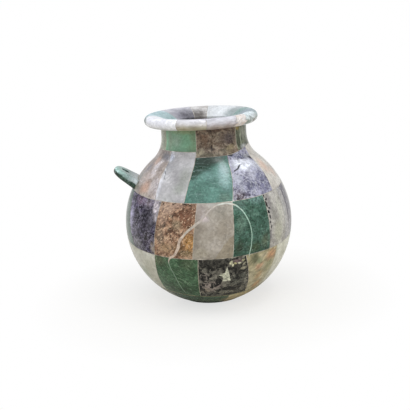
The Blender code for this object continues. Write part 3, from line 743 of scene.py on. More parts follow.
SHOULDER_ROW = (
    ((-104, -104), "pink_granite", granite, dict(colours=("8b7f77", "9f938b", "b1a49b", "c3b6ae"),
        grain=2.0, blend=0.3, marks=(
        (-52, 134.6, 6.5, 3.0, 12, "6b707b", 0.9, 0.75), (-67, 130, 4, 3.5, 0, "c9ab9b", 0.7, 0.85),
        (-73, 124, 4, 4.5, 20, "7f7b84", 0.8, 0.75), (-58, 110, 6, 6, 0, "c2a08c", 0.8, 0.85),
        (-79, 116, 5, 6, 0, "9b9a92", 0.7, 0.7), (-74, 108, 5, 4, 0, "969a8e", 0.7, 0.6),
        (-49, 113, 3, 7, 0, "c9c0be", 0.7, 0.7), (-55, 104, 6, 2.5, 0, "bdb4a8", 0.7, 0.6),
        (-62, 119, 4, 4, 0, "c6b6af", 0.8, 0.7),
    ))),
    ((-46, -41), "white_quartz", quartz, dict(colours=("a5a3a4", "b4b2b3", "c1bfc0"), flaws=0.2, sugar=0.10,
        marks=(
        (-44, 134.6, 3.5, 2.4, 15, "646a75", 0.8, 0.8), (-48, 130.5, 4.5, 2.5, 35, "7f7f87", 0.9, 0.75),
        (-41, 127, 4, 4, 0, "98979a", 0.9, 0.7), (-40, 121, 3, 9, 0, "cbcacb", 0.8, 0.5),
        (-19, 121, 5, 9, 0, "8b8f86", 0.9, 0.75), (-22, 112, 5, 4, 0, "989e93", 0.9, 0.6),
        (-32, 104, 8, 5, 0, "bcbcbb", 0.8, 0.7), (-42.5, 125.4, 2.4, 0.5, 50, "dfdfe2", 0.4, 0.85),
        (-41.0, 123.6, 2.4, 0.5, 50, "73767a", 0.4, 0.8), (-40.5, 121.8, 2.6, 0.5, 50, "dcdcdf", 0.4, 0.85),
        (-39.0, 120.2, 2.2, 0.4, 50, "7c7f82", 0.4, 0.8),
    ))),
    ((-11.3, -17), "green_aventurine", aventurine, dict(colours=("446a5f", "5b867a"), cloud=9,
        thread="a9c9c4", threads=0.20, sand=0.16, marks=(
        (-7, 131, 26, 8.8, -33, "14301f", 0.4, 0.92), (4, 132.5, 12, 3.8, -6, "1b2f24", 0.7, 0.9),
        # The pale patches at 17 and 15 degrees, here and on the next line, are a painted highlight: the shine
        # of the window light along the joint.
        (14, 133, 5, 2.5, 0, "55605a", 0.8, 0.8), (17, 125, 3.4, 6.0, 10, "a9bdc0", 0.8, 0.75),
        (15, 119, 4.5, 9, -8, "86a8a6", 0.9, 0.8), (3, 122, 5, 4, 0, "678d86", 0.9, 0.7),
        (13, 104, 5, 4, 0, "5f7a6c", 0.8, 0.7), (-9, 110, 8, 8, 0, "4a7265", 0.9, 0.75),
    ))),
    ((27, 18), "light_amethyst", amethyst, dict(colours=("6a687d", "8e8da2", "b4b3c7"), cloud=6,
        frost="cbccd6", frosting=0.65, contrast=0.22, marks=(
        # The three pale patches at 124 to 127 mm, here and at the start of the next line, are a painted
        # highlight: the glare of the window light.
        (36, 127, 7, 5.0, -4, "cfd2da", 0.5, 0.95), (44, 126, 9, 5.0, -4, "e9ecf6", 0.5, 0.95),
        (56, 124, 5, 4.0, 0, "c2c4cf", 0.6, 0.9), (43, 133.0, 11, 2.3, 8, "64667b", 0.6, 0.9),
        (56, 131.5, 5, 2.0, 6, "a6a7ab", 0.6, 0.8), (44, 131.0, 3.5, 0.4, 5, "3d3b48", 0.4, 0.8),
        (50, 121, 5, 3.5, 0, "8d8ea6", 0.7, 0.75), (45, 118, 6, 4, 0, "c4c4d2", 0.7, 0.8),
        (27, 117, 4, 6, 12, "a6a9b6", 0.7, 0.8), (50, 117, 5, 4, 0, "686983", 0.8, 0.85),
        (36, 111, 7, 5, 0, "66677c", 0.8, 0.85), (50, 109, 8, 6, 0, "66667e", 0.8, 0.85),
        (60, 112, 5, 6, 0, "77768e", 0.8, 0.8), (28, 109, 3, 3, 0, "a7a9b8", 0.7, 0.7),
        (24, 104, 6, 4, 10, "544549", 0.8, 0.9),
    ), laid=(
        (31, 135.0, 2.6, 1.3, 0, "1d1c20", 0.5, 0.95), (58.1, 130.1, 2.4, 1.1, 20, "2b2833", 0.5, 0.9),
        (31.6, 124.6, 6.6, 0.6, -22, "1a1820", 0.5, 0.95), (22.4, 102.6, 1.4, 1.0, 0, "1c171c", 0.5, 0.9),
        (27.5, 105.0, 1.2, 0.9, 0, "231e25", 0.5, 0.85), (32.0, 103.5, 1.4, 0.8, 0, "2b2730", 0.5, 0.8),
    ))),
    ((62, 56.5), "cream_jasper", jasper, dict(colours=("bfb9b1", "cac5bc", "d5d1c9"), cloud=12,
        contrast=0.13, marks=(
        (68, 122, 5, 7, 20, "d6b9a7", 0.8, 0.8), (76, 115, 5, 5, 0, "ceb5a5", 0.8, 0.7),
    ))),
    ((98, 95), "dark_amethyst", amethyst, dict(colours=("2f2939", "463f52", "68616f"))),
    ((134, 134), "tan_jasper", jasper, dict(colours=("8b7652", "a48d66", "bda985"), contrast=0.2)),
    ((172, 172), "dark_aventurine", aventurine, dict(colours=("2c4b3b", "466b58"))),
    ((214, 214), "grey_quartz", quartz, dict(colours=("908a7f", "a39d93", "b5afa5"))),
)
lay_row("shoulder", SHOULDER_ROW, shoulder_seam, neck_seam, 50)


# Neck stones
# Seven upright blocks, turned to a straight neck with a hollow foot. The front joint is stepped: the
# brown one is sawn 5 mm longer than the green one beside it.
def neck_top(azimuth, middle):
    """Path of the level seam under the lip."""
    return NECK_TOP + 0 * azimuth


NECK_ROW = (
    ((-60, -60), "green_aventurine", aventurine, dict(colours=("7dab8b", "94c1a1"), cloud=12,
        thread="a6c0a4", threads=0.14, tilt=8, sand=0.12, marks=(
        (-38, 148, 5, 6, 0, "90a193", 0.9, 0.8), (-24, 146, 6, 5, 0, "719a80", 0.9, 0.8),
        # The first patch below, a band just under the lip, is painted shade under the lip.
        (-22, 157, 16, 2.2, 0, "8a9570", 0.8, 0.8), (-14, 152, 2.5, 8, 0, "6f8266", 0.8, 0.8),
        # Both patches below are painted shade in the neck's hollow foot.
        (-14, 140.5, 6, 4, 0, "66785c", 0.9, 0.8), (-34, 138.5, 14, 3.5, 0, "5c7a66", 0.9, 0.8),
        (-50, 148, 3, 10, 0, "8c9083", 0.8, 0.6),
    ))),
    ((-10.5, -10.5), "brown_jasper", jasper, dict(colours=("5a4b3f", "706051", "877868", "998c7c"),
        cloud=4.0, grain=1.5, contrast=0.32, marks=(
        (14, 157.6, 17, 1.3, 0, "4f3226", 0.6, 0.6), (-7, 150, 3, 6, 0, "7d6d5f", 0.8, 0.8),
        (34, 149, 6, 5, 0, "40363a", 0.7, 0.85), (0, 151, 4, 5, 0, "6a4f3d", 0.8, 0.7),
        (22, 148, 4, 5, 0, "64574d", 0.8, 0.6), (9, 142, 0.8, 3.0, 0, "2b211f", 0.4, 0.8),
        (-6, 139, 4, 3, 0, "918a74", 0.7, 0.8), (6, 136, 9, 2.2, 0, "56513f", 0.7, 0.8),
        (28, 139, 6, 2.5, 0, "756c58", 0.7, 0.8), (36, 141, 4, 2.0, 0, "8d8163", 0.7, 0.7),
    ), specks=(("241f1b", 1.3, 0.60, 0.68, 0.8), ("aca184", 1.1, 0.61, 0.69, 0.55)))),
    ((46, 46), "olive_jasper", jasper, dict(colours=("454b3a", "5f6551", "7a7f6a"), cloud=3.5, contrast=0.3,
        long=3.0, tilt=90, marks=(
        (50, 157.0, 3, 2.0, 0, "96834d", 0.6, 0.8), (56, 148, 1.0, 7, 0, "98a08c", 0.6, 0.8),
        (62, 152, 2.5, 5, 0, "a3a596", 0.6, 0.7), (50, 146, 1.6, 7, 0, "4c5241", 0.6, 0.8),
        (60, 139, 5, 2.5, 0, "b0b2b4", 0.7, 0.8),
    ))),
    ((96, 96), "white_quartz", quartz, dict(colours=("b2afaa", "c6c3be", "d6d3cf"))),
    ((150, 150), "dark_amethyst", amethyst, dict(colours=("332d3f", "4c4559", "6d6678"))),
    ((205, 205), "dark_aventurine", aventurine, dict(colours=("37604f", "56806b"))),
    ((258, 258), "cream_jasper", jasper, dict(colours=("8f9684", "a6a994", "b9baa9"))),
)
lay_row("neck", NECK_ROW, neck_seam, neck_top, 70)


# Lip stones
# Ten blocks glued in a ring on the neck, then turned to a round rim and a trumpet mouth. The rim was
# turned 1.8 mm off the axis, so it stands out further on the ear's side.
LIP_RADIUS = 0.0501
LIP_THICKNESS = 0.0094
LIP_OFF_CENTRE = 0.0018
THROAT_EDGE = 0.0024
THROAT_EASE_WIDE = 0.0007
THROAT_EASE_HIGH = 0.0006
EASE_OUT = np.array((0.0, 0.00012, 0.0004))
EASE_UP = np.array((0.0, 0.0003, 0.00055))
EAR_AZIMUTH = -88.0
LIP_Z = FILLET_Z + NECK_STRAIGHT


def lip_chains(azimuth, inset):
    """Radii and heights of the lip's section, throat to rim: along its flat underside, and over its mouth.

    The mouth climbs by one less the square of what is left of the way, so it is steep at the throat, where
    its edge is eased in three points, and level at the rim. The rim is half a round, its centre off the
    axis by the cosine from the ear.
    """
    bead = LIP_THICKNESS / 2 - inset
    bead_r = LIP_RADIUS - LIP_THICKNESS / 2 + LIP_OFF_CENTRE * np.cos(np.radians(azimuth - EAR_AZIMUTH))
    bead_z = LIP_Z + LIP_THICKNESS / 2
    bottom = LIP_Z + GLUE / 2 + inset
    throat = NECK_RADIUS - WALL + inset
    share = np.linspace(0, 1, 12)[None, :]
    turn = np.radians(np.linspace(90, 4, 14))[None, 1:]
    ones = np.ones_like(azimuth)
    lead = (throat + EASE_OUT[None, :]) * ones
    start = throat + THROAT_EASE_WIDE
    radius = np.concatenate((lead, start + (bead_r - start) * share, bead_r + bead * np.cos(turn)), axis=1)
    flat = np.full((len(azimuth), lead.shape[1] + share.shape[1]), bottom)
    under = np.concatenate((flat, (bead_z - bead * np.sin(turn)) * ones), axis=1)
    edge = LIP_Z + THROAT_EDGE - THROAT_EASE_HIGH - inset + EASE_UP[None, :]
    rise = LIP_Z + THROAT_EDGE + (LIP_THICKNESS - THROAT_EDGE) * (1 - (1 - share) ** 2) - inset
    over = np.concatenate((edge * ones, rise * ones, (bead_z + bead * np.sin(turn)) * ones), axis=1)
    return (radius, np.maximum(under, bottom)), (radius, over)


LIP_ROW = (
    ((-85, -85), "white_quartz", quartz, dict(colours=("e6e6ea", "eeeef0", "f4f4f6"), marks=(
        # The first patch, low on the rim's front, is painted shade under the bead; the two dark rim patches
        # at its left end are painted shade at the rim's edge.
        (-40, 159.4, 30, 1.8, 0, "a9aba2", 0.7, 0.45),
        (-85, 163.4, 8.5, 4.2, 0, "6f8479", 0.7, 0.95, "rim"),
        (-82, 163.2, 6.5, 3.2, 12, "3b4f45", 0.6, 0.9, "rim"),
    ))),
    ((-27, -27), "tan_jasper", jasper, dict(colours=("b9b2a8", "c8c3bb", "d6d3ce"), cloud=7, contrast=0.13,
        long=4.0, marks=(
        # The low band is painted shade under the bead; the pale band along the rim's top, on the next line,
        # is painted sheen.
        (-12, 160.0, 26, 2.8, 0, "a39a7a", 0.8, 0.85), (-3, 163.5, 8, 2.0, 0, "b8ae9c", 0.9, 0.7),
        (-13, 168.5, 26, 4.8, 0, "dcdbe1", 0.5, 0.85),
    ))),
    ((3, 3), "mauve_jasper", jasper, dict(colours=("aea6a9", "bfbabe", "cfccd0"), cloud=6, contrast=0.13,
        long=4.0, marks=(
        # The low band is painted shade under the bead; the bluish pale patches, here and on the next line,
        # are painted sheen on the rim's top.
        (17, 160.0, 20, 2.6, 0, "9b8775", 0.8, 0.85), (28, 165, 5, 4, 0, "dde1e7", 0.9, 0.8),
        (18, 168.5, 20, 4.4, 0, "d5d6dd", 0.5, 0.7),
    ))),
    ((37.5, 30.5), "pink_granite", granite, dict(colours=("d2c0b2", "ddd0c6", "e2dcd8", "e8e6e6"),
        blend=0.4, marks=(
        # The second patch, low on the rim, is painted shade under the bead.
        (38.5, 164.5, 2.6, 2.0, 40, "cfa888", 0.6, 0.8), (41, 161, 6, 2.5, 0, "b79d7e", 0.7, 0.8),
    ))),
    ((51.5, 44.5), "olive_jasper", jasper, dict(colours=("aab3af", "c6cdcc", "dde3e5"), cloud=4,
        contrast=0.2, marks=(
        (66, 161.6, 3.6, 1.6, -20, "63543f", 0.6, 0.85, "rim"),
        # The last patch, pale along the rim's top, is painted sheen.
        (53, 161.6, 4.5, 2.4, 0, "7f8d80", 0.7, 0.8, "rim"), (60, 168, 14, 3.6, 0, "dfeaee", 0.6, 0.8),
    ))),
    ((75, 75), "green_aventurine", aventurine, dict(colours=("a2b3b2", "c3cfd0"), sand=0.16,
        thread="d8dfe0", marks=(
        # Both patches on this line are painted shade down in the mouth, towards the throat.
        (108, 164, 10, 4.8, 0, "7f9992", 0.6, 0.9), (88, 167, 10, 4.0, 0, "8f9ba3", 0.7, 0.85),
        (80, 162, 4, 2.0, 0, "6f7a6f", 0.7, 0.8, "rim"),
    ))),
    ((118, 118), "white_quartz", quartz, dict(colours=("cdd0d1", "d7dadb", "e1e4e5"), marks=(
        # Painted shade down in the mouth, at the throat.
        (121, 162, 12, 6.2, 0, "7d8c8a", 0.6, 0.85),
    ))),
    ((173, 173), "brown_jasper", jasper, dict(colours=("b9b5b0", "cac7c4", "dad8d6"), marks=(
        # Painted shade down in the mouth, at the throat.
        (189, 158.5, 12.5, 7.3, 0, "3a312b", 0.45, 0.97),
    ))),
    ((195, 195), "light_amethyst", amethyst, dict(colours=("b4b3ba", "c5c4ca", "d5d4d9"), frost="a9a8ad",
        frosting=0.25, contrast=0.08, marks=(
        # Both patches are painted shade down in the mouth, at the throat.
        (216, 159, 16, 7.2, 0, "6f6c78", 0.6, 0.85), (203, 158.5, 12, 7.2, 0, "231e29", 0.5, 0.95),
    ))),
    ((235, 235), "green_aventurine", aventurine, dict(colours=("9db9bd", "c3d7db"), sand=0.1,
        thread="d9e5e8", marks=(
        # The first patch is painted shade down in the mouth, at the throat.
        (240, 160, 8, 6, 0, "758f8f", 0.8, 0.85), (262, 162, 19, 4.2, 4, "7d9592", 0.8, 0.8, "rim"),
    ))),
)
lay_ring("lip", LIP_ROW, lip_chains, LIP_RADIUS, 90)


# Resin joints
# The pale resin that fills every joint through the whole wall. It was poured with the stones clamped a
# little apart, then turned flush with them, and has sunk by a tenth of a millimetre as it cured.
SUNK = 0.00008
BITE = 0.00006
PAIR = np.array((0.0, 1.0))
RING_START = STEP_AZIMUTH + 0.1
FOOT_LINE_BELOW = 0.0012
FOOT_LINE_ABOVE = 0.0003
FOOT_LINE_PROUD = 0.00003


def filled(name, dull, bright, marks=()):
    """Cured resin with stone dust in it: dull and bright cream by turns, less glossy than the stone."""
    resin = Matter(name)
    resin.clouded(6, (dull, bright))
    resin.marked(marks)
    resin.grained(1.6, 0.16)
    fine = resin.add("TexNoise", {"Vector": resin.here, "Scale": 1000 / 0.8, "Detail": 2.0})
    bump = resin.add("Bump", {"Height": fine, "Strength": 1.0, "Distance": 0.00004})
    shader = {"Base Color": resin.colour, "Roughness": 0.34, "IOR": 1.55, "Normal": bump}
    resin.add("OutputMaterial", {"Surface": resin.add("BsdfPrincipled", shader)})
    return resin.material


def all_round(seam, below, above, start, sunk):
    """A band of resin all round the wall, from so far below a ring seam to so far above it."""

    def low(azimuth, middle):
        return seam(azimuth, middle) + below

    def high(azimuth, middle):
        return seam(azimuth, middle) + above

    return walled((start,) * 2, (start + 360,) * 2, low, high, np.linspace(0, 1, 181), PAIR, 0.0, 0.0, sunk)


half_joint = GLUE / 2 + BITE
rings = (base_seam, belly_seam, shoulder_seam, neck_seam, neck_top)
joints = [all_round(ring, -half_joint, half_joint, RING_START, SUNK) for ring in rings]
for row, low_seam, high_seam in zip((LOWER_ROW, BELLY_ROW, SHOULDER_ROW, NECK_ROW), rings, rings[1:]):
    for seam, *_ in row:
        up = np.linspace(0, 1, 25)
        joints.append(walled(seam, seam, low_seam, high_seam, PAIR, up, -half_joint, 0.0, SUNK))
for row, chains in ((LIP_ROW, lip_chains), (BASE_ROW, base_chains)):
    for seam, *_ in row:
        joints.append(swept(chains, seam, seam, PAIR, -half_joint, SUNK))
made("resin_joints", joints, filled("cured_cream_resin", "6f675a", "cdc6b6", (
    # The first patch, a dark line round the front along the seam under the lip, is painted shadow under the
    # lip.
    (0, LIP_Z * 1000, 90, 1.0, 0, "3f342a", 0.3, 0.85), (20, 132.5, 26, 4, 0, "4b4539", 0.5, 0.6),
    (-20, 102, 26, 4, 0, "b9b3a6", 0.5, 0.7), (-10, 32, 4, 20, 0, "b7ae9b", 0.5, 0.8),
    (16, 100, 5, 6, 0, "dcd8ce", 0.5, 0.9), (36, 104, 14, 5, 20, "c9c3b8", 0.5, 0.8),
    (-8, 85, 3, 18, 0, "bdb5a6", 0.5, 0.7),
)))

foot_line = all_round(base_seam, -FOOT_LINE_BELOW, FOOT_LINE_ABOVE, RING_START - 180, -FOOT_LINE_PROUD)
foot_resin = filled("smeared_olive_resin", "5f6348", "8f8d6d", ((15, 7, 4, 5, 0, "9f9473", 0.5, 0.9),))
made("foot_resin_line", [foot_line], foot_resin)


# Ear
# One green tab of aventurine on the left shoulder, round at its tip and drilled through from above to
# take a cord. Its root is ground to the ball, and a bead of cream resin stands round it.
EAR_LATITUDE = 32.3
EAR_RISE = 35.3
EAR_REACH = 0.0220
EAR_TIP_WIDTH = 0.0270
EAR_ROOT_WIDTH = 0.0320
EAR_TIP_THICKNESS = 0.0063
EAR_ROOT_THICKNESS = 0.0092
EAR_CORNER = 0.0125
EAR_EDGE = 0.0026
EYE_RADIUS = 0.0033
EYE_ALONG = EAR_REACH - 0.0094
EYE_EDGE = 0.0006
EAR_ROOT = -WALL / 2 - EAR_ROOT_WIDTH**2 / (8 * BELLY_RADIUS)
NEAR_MIDDLE = 0.0005
BEAD_RADIUS = 0.0006
BALL_MIDDLE = np.array((0.0, 0.0, BELLY_Z))

facing, slope, rise = (math.radians(angle) for angle in (EAR_AZIMUTH, EAR_RISE, EAR_LATITUDE))
outward = np.array((math.sin(facing), -math.cos(facing), 0.0))
ear_along = outward * math.cos(slope) + np.array((0, 0, math.sin(slope)))
ear_across = np.array((math.cos(facing), math.sin(facing), 0.0))
ear_up = np.array((0, 0, math.cos(slope))) - outward * math.sin(slope)
ear_home = BALL_MIDDLE + BELLY_RADIUS * (outward * math.cos(rise) + np.array((0, 0, math.sin(rise))))


def half_thickness(along):
    """Half the ear's thickness at a distance out from the ball: an even taper from root to tip."""
    share = (EAR_REACH - along) / (EAR_REACH - EAR_ROOT)
    return (EAR_TIP_THICKNESS + (EAR_ROOT_THICKNESS - EAR_TIP_THICKNESS) * share) / 2


corner = np.radians(np.linspace(0, 90, 20))
tip_along = EAR_REACH - EAR_CORNER + EAR_CORNER * np.cos(corner)
tip_across = EAR_TIP_WIDTH / 2 - EAR_CORNER + EAR_CORNER * np.sin(corner)
side_share = np.linspace(0, 1, 30)[1:]
side_along = tip_along[-1] + (EAR_ROOT - tip_along[-1]) * side_share
side_across = tip_across[-1] + (EAR_ROOT_WIDTH / 2 - tip_across[-1]) * side_share
flank_along, flank_across = np.concatenate((tip_along, side_along)), np.concatenate((tip_across, side_across))
half_along = np.concatenate((flank_along, np.full(20, EAR_ROOT)))
half_across = np.concatenate((flank_across, np.linspace(EAR_ROOT_WIDTH / 2, NEAR_MIDDLE, 20)))


def to_edge(angle):
    """Distance from the eye's middle to the tab's outline, by the angle round the eye: its polar form."""
    out = half_along - EYE_ALONG
    return np.interp(np.abs(angle), np.arctan2(half_across, out), np.hypot(half_across, out))


def to_ball(angle, above):
    """Distance from the eye's axis to the ball, along the tab at a height above its middle plane.

    It is the nearer root of the squared distance from the ball's middle set equal to its squared radius.
    """
    start = ear_home + EYE_ALONG * ear_along - BALL_MIDDLE + above[..., None] * ear_up
    way = np.cos(angle)[..., None] * ear_along + np.sin(angle)[..., None] * ear_across
    toward = (start * way).sum(-1)
    rest = toward**2 - (start**2).sum(-1) + BELLY_RADIUS**2
    return np.where((rest > 0) & (toward < 0), -toward - np.sqrt(np.maximum(rest, 0)), 1.0)


def ear_points(angle):
    """Points of the ear on two ways round: round its eye, and round its section from the eye's wall and back.

    The section runs up the eye's wall, over an eased rim, out along the top, round an edge of 2.6 mm, and
    back below in mirror image. It stops where it meets the ball, so that the root fits the ball's skin.
    """
    fan = np.radians(np.linspace(0, 90, 8))
    rim_r, rim_z = EYE_EDGE * (1 - np.cos(fan)), EYE_EDGE * (np.sin(fan) - 1)
    edge_r, edge_z = EAR_EDGE * (np.sin(fan) - 1), EAR_EDGE * (np.cos(fan) - 1)
    out = np.linspace(0, 1, 14)[1:-1]
    share = np.concatenate((np.zeros(8), out, np.ones(8)))
    shift = np.concatenate((rim_r, EYE_EDGE * (1 - out) - EAR_EDGE * out, edge_r))
    drop = np.concatenate((rim_z, np.zeros(12), edge_z))
    share, shift, drop = (np.concatenate((part, part[::-1])) for part in (share, shift, drop))
    flip = np.repeat((1.0, -1.0), share.size // 2)[None, :]
    angle = angle[:, None] * np.ones_like(flip)
    reach = to_edge(angle)
    thick = half_thickness(EYE_ALONG) + 0 * reach
    for _ in range(4):
        seat = to_ball(angle, flip * (thick + drop))
        last = np.minimum(reach, seat + EAR_EDGE)
        radius = np.minimum(EYE_RADIUS + shift + share * (last - EYE_RADIUS), seat)
        along = EYE_ALONG + radius * np.cos(angle)
        thick = half_thickness(along)
    local = np.stack((along, radius * np.sin(angle), flip * (thick + drop)), axis=-1)
    return ear_home + local @ np.stack((ear_along, ear_across, ear_up))


def ring_of(points):
    """A closed tube from a grid of points that joins its last line to its first both ways round."""
    here = np.arange(points.shape[0] * points.shape[1]).reshape(points.shape[:2])
    beside, above = np.roll(here, -1, axis=0), np.roll(here, -1, axis=1)
    quads = np.stack((here, beside, np.roll(beside, -1, axis=1), above), axis=-1).reshape(-1, 4)
    return points.reshape(-1, 3), quads, np.zeros(here.size)


def ear_aventurine(name, seed):
    """The ear's own block of aventurine. Light on its top is painted pale green, and shade under it is left
    dark, by how far a point is over the tab's middle plane; towards the root it is greyer. Shade in its
    drilled eye is painted dark."""
    stone = Matter(name, seed)
    stone.clouded(5, ("23362c", "384f42"))
    from_home = stone.add("VectorMath", {0: stone.here, 1: ear_home.tolist()}, operation="SUBTRACT")
    above, out = (
        stone.add("VectorMath", {0: from_home, 1: axis.tolist()}, "Value", operation="DOT_PRODUCT")
        for axis in (ear_up, ear_along)
    )
    # Painted light and shade: the top of the tab is painted pale as if lit, and the underside keeps the dark
    # green as its shade.
    painted_lit_top = stone.add("MapRange", {"Value": above, "From Min": -0.0004, "From Max": 0.0009, "To Max": 0.94})
    upper = stone.add("MapRange", {"Value": out, "From Min": 0.002, "From Max": 0.018})
    tones = ((0.0, "c3cdcf"), (0.4, "8fa5a1"), (1.0, "a5c4bb"))
    stone.painted(stone.add("ValToRGB", {0: upper}, stops=tones), painted_lit_top)
    stone.sprinkled(1.5, "c4ddd2", 0.58, 0.70, 0.25)
    eye = (EYE_ALONG * ear_along).tolist()
    from_eye = stone.add("VectorMath", {0: from_home, 1: eye}, operation="SUBTRACT")
    over = stone.add("VectorMath", {0: from_eye, 1: ear_up.tolist()}, operation="PROJECT")
    off = stone.add("VectorMath", {0: from_eye, 1: over}, "Value", operation="DISTANCE")
    # Painted shade in the drilled eye: darker within the eye's radius.
    painted_eye_shade = {"Value": off, "From Min": EYE_RADIUS + EYE_EDGE, "From Max": EYE_RADIUS, "To Max": 0.85}
    stone.painted("263a32", stone.add("MapRange", painted_eye_shade))
    stone.grained(1.4, 0.2)
    return stone.polished(0.15)


ear = ring_of(ear_points(np.radians(np.linspace(180, -180, 121)[:-1])))
ear_stone = ear_aventurine("green_aventurine_ear_lug", 120)
made("ear_lug_polished", [ear], ear_stone, "ear_lug")

bead_turn = np.radians(np.linspace(0, 360, 97)[:-1])
square = np.maximum(np.abs(np.cos(bead_turn)) ** 4 + np.abs(np.sin(bead_turn)) ** 4, 1e-9) ** -0.25
bead_along = np.zeros_like(bead_turn)
for _ in range(6):
    bead_across = np.interp(-bead_along, -flank_along, flank_across) * np.cos(bead_turn) * square
    bead_above = half_thickness(bead_along) * np.sin(bead_turn) * square
    start = ear_home - BALL_MIDDLE + bead_across[:, None] * ear_across + bead_above[:, None] * ear_up
    toward = (start * ear_along).sum(-1)
    bead_along = -toward + np.sqrt(np.maximum(toward**2 - (start**2).sum(-1) + BELLY_RADIUS**2, 0))
bead_middle = BALL_MIDDLE + start + bead_along[:, None] * ear_along
bead_run = np.roll(bead_middle, -1, axis=0) - np.roll(bead_middle, 1, axis=0)
bead_run /= np.linalg.norm(bead_run, axis=1)[:, None]
bead_out = (bead_middle - BALL_MIDDLE) / BELLY_RADIUS
bead_side = np.cross(bead_run, bead_out)
around = np.radians(np.linspace(0, 360, 11)[:-1])[None, :, None]
bead_size = BEAD_RADIUS * (1 + 0.25 * np.sin(5 * bead_turn + 1))[:, None, None]
bead_round = np.cos(around) * bead_side[:, None] + np.sin(around) * bead_out[:, None]
bead = ring_of(bead_middle[:, None] + bead_size * bead_round)
made("ear_glue_bead", [bead], filled("squeezed_out_cream_resin", "6b6a5c", "a9a695"))


# Mended shard
# The front was broken and glued: the break runs round a shard as tall as the belly, over five stones. Its
# resin was wiped, so it is 2.5 mm wide where chips were filled and stands a hair proud. Each station of
# the break is its azimuth in degrees, its height in mm and the line's width in mm.
BREAK = np.array((
    (-25.4, 18.9, 0.4), (-26.3, 22.1, 0.5), (-26.9, 28.5, 0.6), (-27.6, 36.8, 0.6), (-28.7, 43.1, 0.7),
    (-29.6, 49.0, 0.8), (-28.9, 53.2, 1.2), (-27.0, 55.8, 1.8), (-24.7, 57.9, 2.0), (-22.3, 62.2, 2.2),
    (-20.7, 66.3, 2.4), (-19.1, 72.0, 2.5), (-16.8, 75.9, 2.4), (-13.3, 79.8, 2.1), (-9.7, 83.8, 2.0),
    (-6.3, 87.0, 1.8), (-3.6, 89.7, 1.6), (0.3, 95.1, 1.2), (5.1, 98.7, 1.1), (9.9, 100.1, 1.2),
    (15.2, 99.7, 1.2), (19.4, 97.7, 1.1), (23.5, 92.7, 1.0), (26.5, 85.7, 0.9), (27.9, 77.9, 0.9),
    (28.2, 69.8, 0.8), (27.6, 62.7, 0.8), (26.7, 56.8, 0.9), (26.0, 50.9, 1.0),
))
MENDED = (
    (-27, 34, 14, 18, 0, "6d8c76", 0.15, 0.9), (-24, 66, 12, 14, 0, "cdb7a5", 0.3, 0.9),
    (-1, 91, 10, 9, 0, "b5aaa3", 0.3, 0.85), (12, 101, 8, 4, 0, "c6c9c0", 0.3, 0.9),
    (23, 95, 6, 7, 0, "a5c0b2", 0.2, 0.9), (29, 76, 8, 24, 0, "9cc0ae", 0.2, 0.9),
)
PROUD = 0.00005
ROOTED = 0.0004
ROOT_SHARE = 0.7
WIDTH_WANDER = 0.22
SIDE_WANDER = 0.16
TIP_HALF_WIDTH = 0.00002


def run_through(stations, steps):
    """A smooth line through all stations: between each two, the cubic that also heads for the ones beside."""
    before = np.concatenate((2 * stations[:1] - stations[1:2], stations[:-1]))[:-1]
    after = np.concatenate((stations[1:], 2 * stations[-1:] - stations[-2:-1]))[1:]
    share = (np.arange(steps) / steps)[None, :, None]
    a, b, c, d = (part[:, None, :] for part in (before, stations[:-1], stations[1:], after))
    line = 0.5 * (2 * b + (c - a) * share + (2 * a - 5 * b + 4 * c - d) * share**2
                  + (3 * b - a - 3 * c + d) * share**3)
    return np.concatenate((line.reshape(-1, stations.shape[1]), stations[-1:]))


def ribbon(line):
    """A ribbon of resin along a line on the ball: domed by one less its share across squared, and rooted.

    Its edges wander by a fifth of its width, from a seeded noise, as chips along a break do. Both ends
    taper over eight points by the square root of the way.
    """
    azimuth, height, width = line[:, 0], line[:, 1] / 1000, line[:, 2] / 1000
    rise = np.arcsin((height - BELLY_Z) / BELLY_RADIUS)
    middle = turned(azimuth, BELLY_RADIUS * np.cos(rise), height)
    run = np.gradient(middle, axis=0)
    run /= np.linalg.norm(run, axis=1)[:, None]
    out = (middle - BALL_MIDDLE) / BELLY_RADIUS
    beside = np.cross(out, run)
    chips = np.random.default_rng(8).uniform(-1, 1, (2, len(line) // 4 + 2))
    wander = [np.interp(np.arange(len(line)) / 4, np.arange(chips.shape[1]), chip) for chip in chips]
    share = np.linspace(-1, 1, 9)[None, :, None]
    steps = np.arange(len(line))
    taper = np.sqrt(np.minimum(1, np.minimum(steps, steps[::-1]) / 8))
    half = (width / 2 * (1 + WIDTH_WANDER * wander[0]) * taper + TIP_HALF_WIDTH)[:, None, None]
    drift = (width * SIDE_WANDER * wander[1])[:, None, None]
    across = beside[:, None] * (half * share + drift)
    skin = middle[:, None] + across + out[:, None] * (PROUD * (1 - share**2))
    return block(skin, middle[:, None] + across * ROOT_SHARE - out[:, None] * ROOTED)


mended_resin = filled("wiped_cream_resin", "a99e90", "d2c9bc", MENDED)
made("mended_break", [ribbon(run_through(BREAK, 8))], mended_resin)


# Floor and light
# A white sheet of paper under the vase, in a room that is grey to the stone and white to the eye. A wide
# soft light hangs overhead, and three windows make the shine on the teal stone and two streaks at the left.
FLOOR_HALF = 4
FADE_FROM = 0.05
ROOM_LIGHT = 0.46
MIRRORED_LIGHT = 0.16
LAMP_AIM = 0.09


def ray_kinds(nodes):
    """Two masks: for rays from the camera, and for rays that polish mirrored or a clear thing let through."""
    rays = nodes.add("LightPath", {}).node.outputs
    both = {0: rays["Is Glossy Ray"], 1: rays["Is Transmission Ray"]}
    return rays["Is Camera Ray"], nodes.add("Math", both, operation="MAXIMUM")


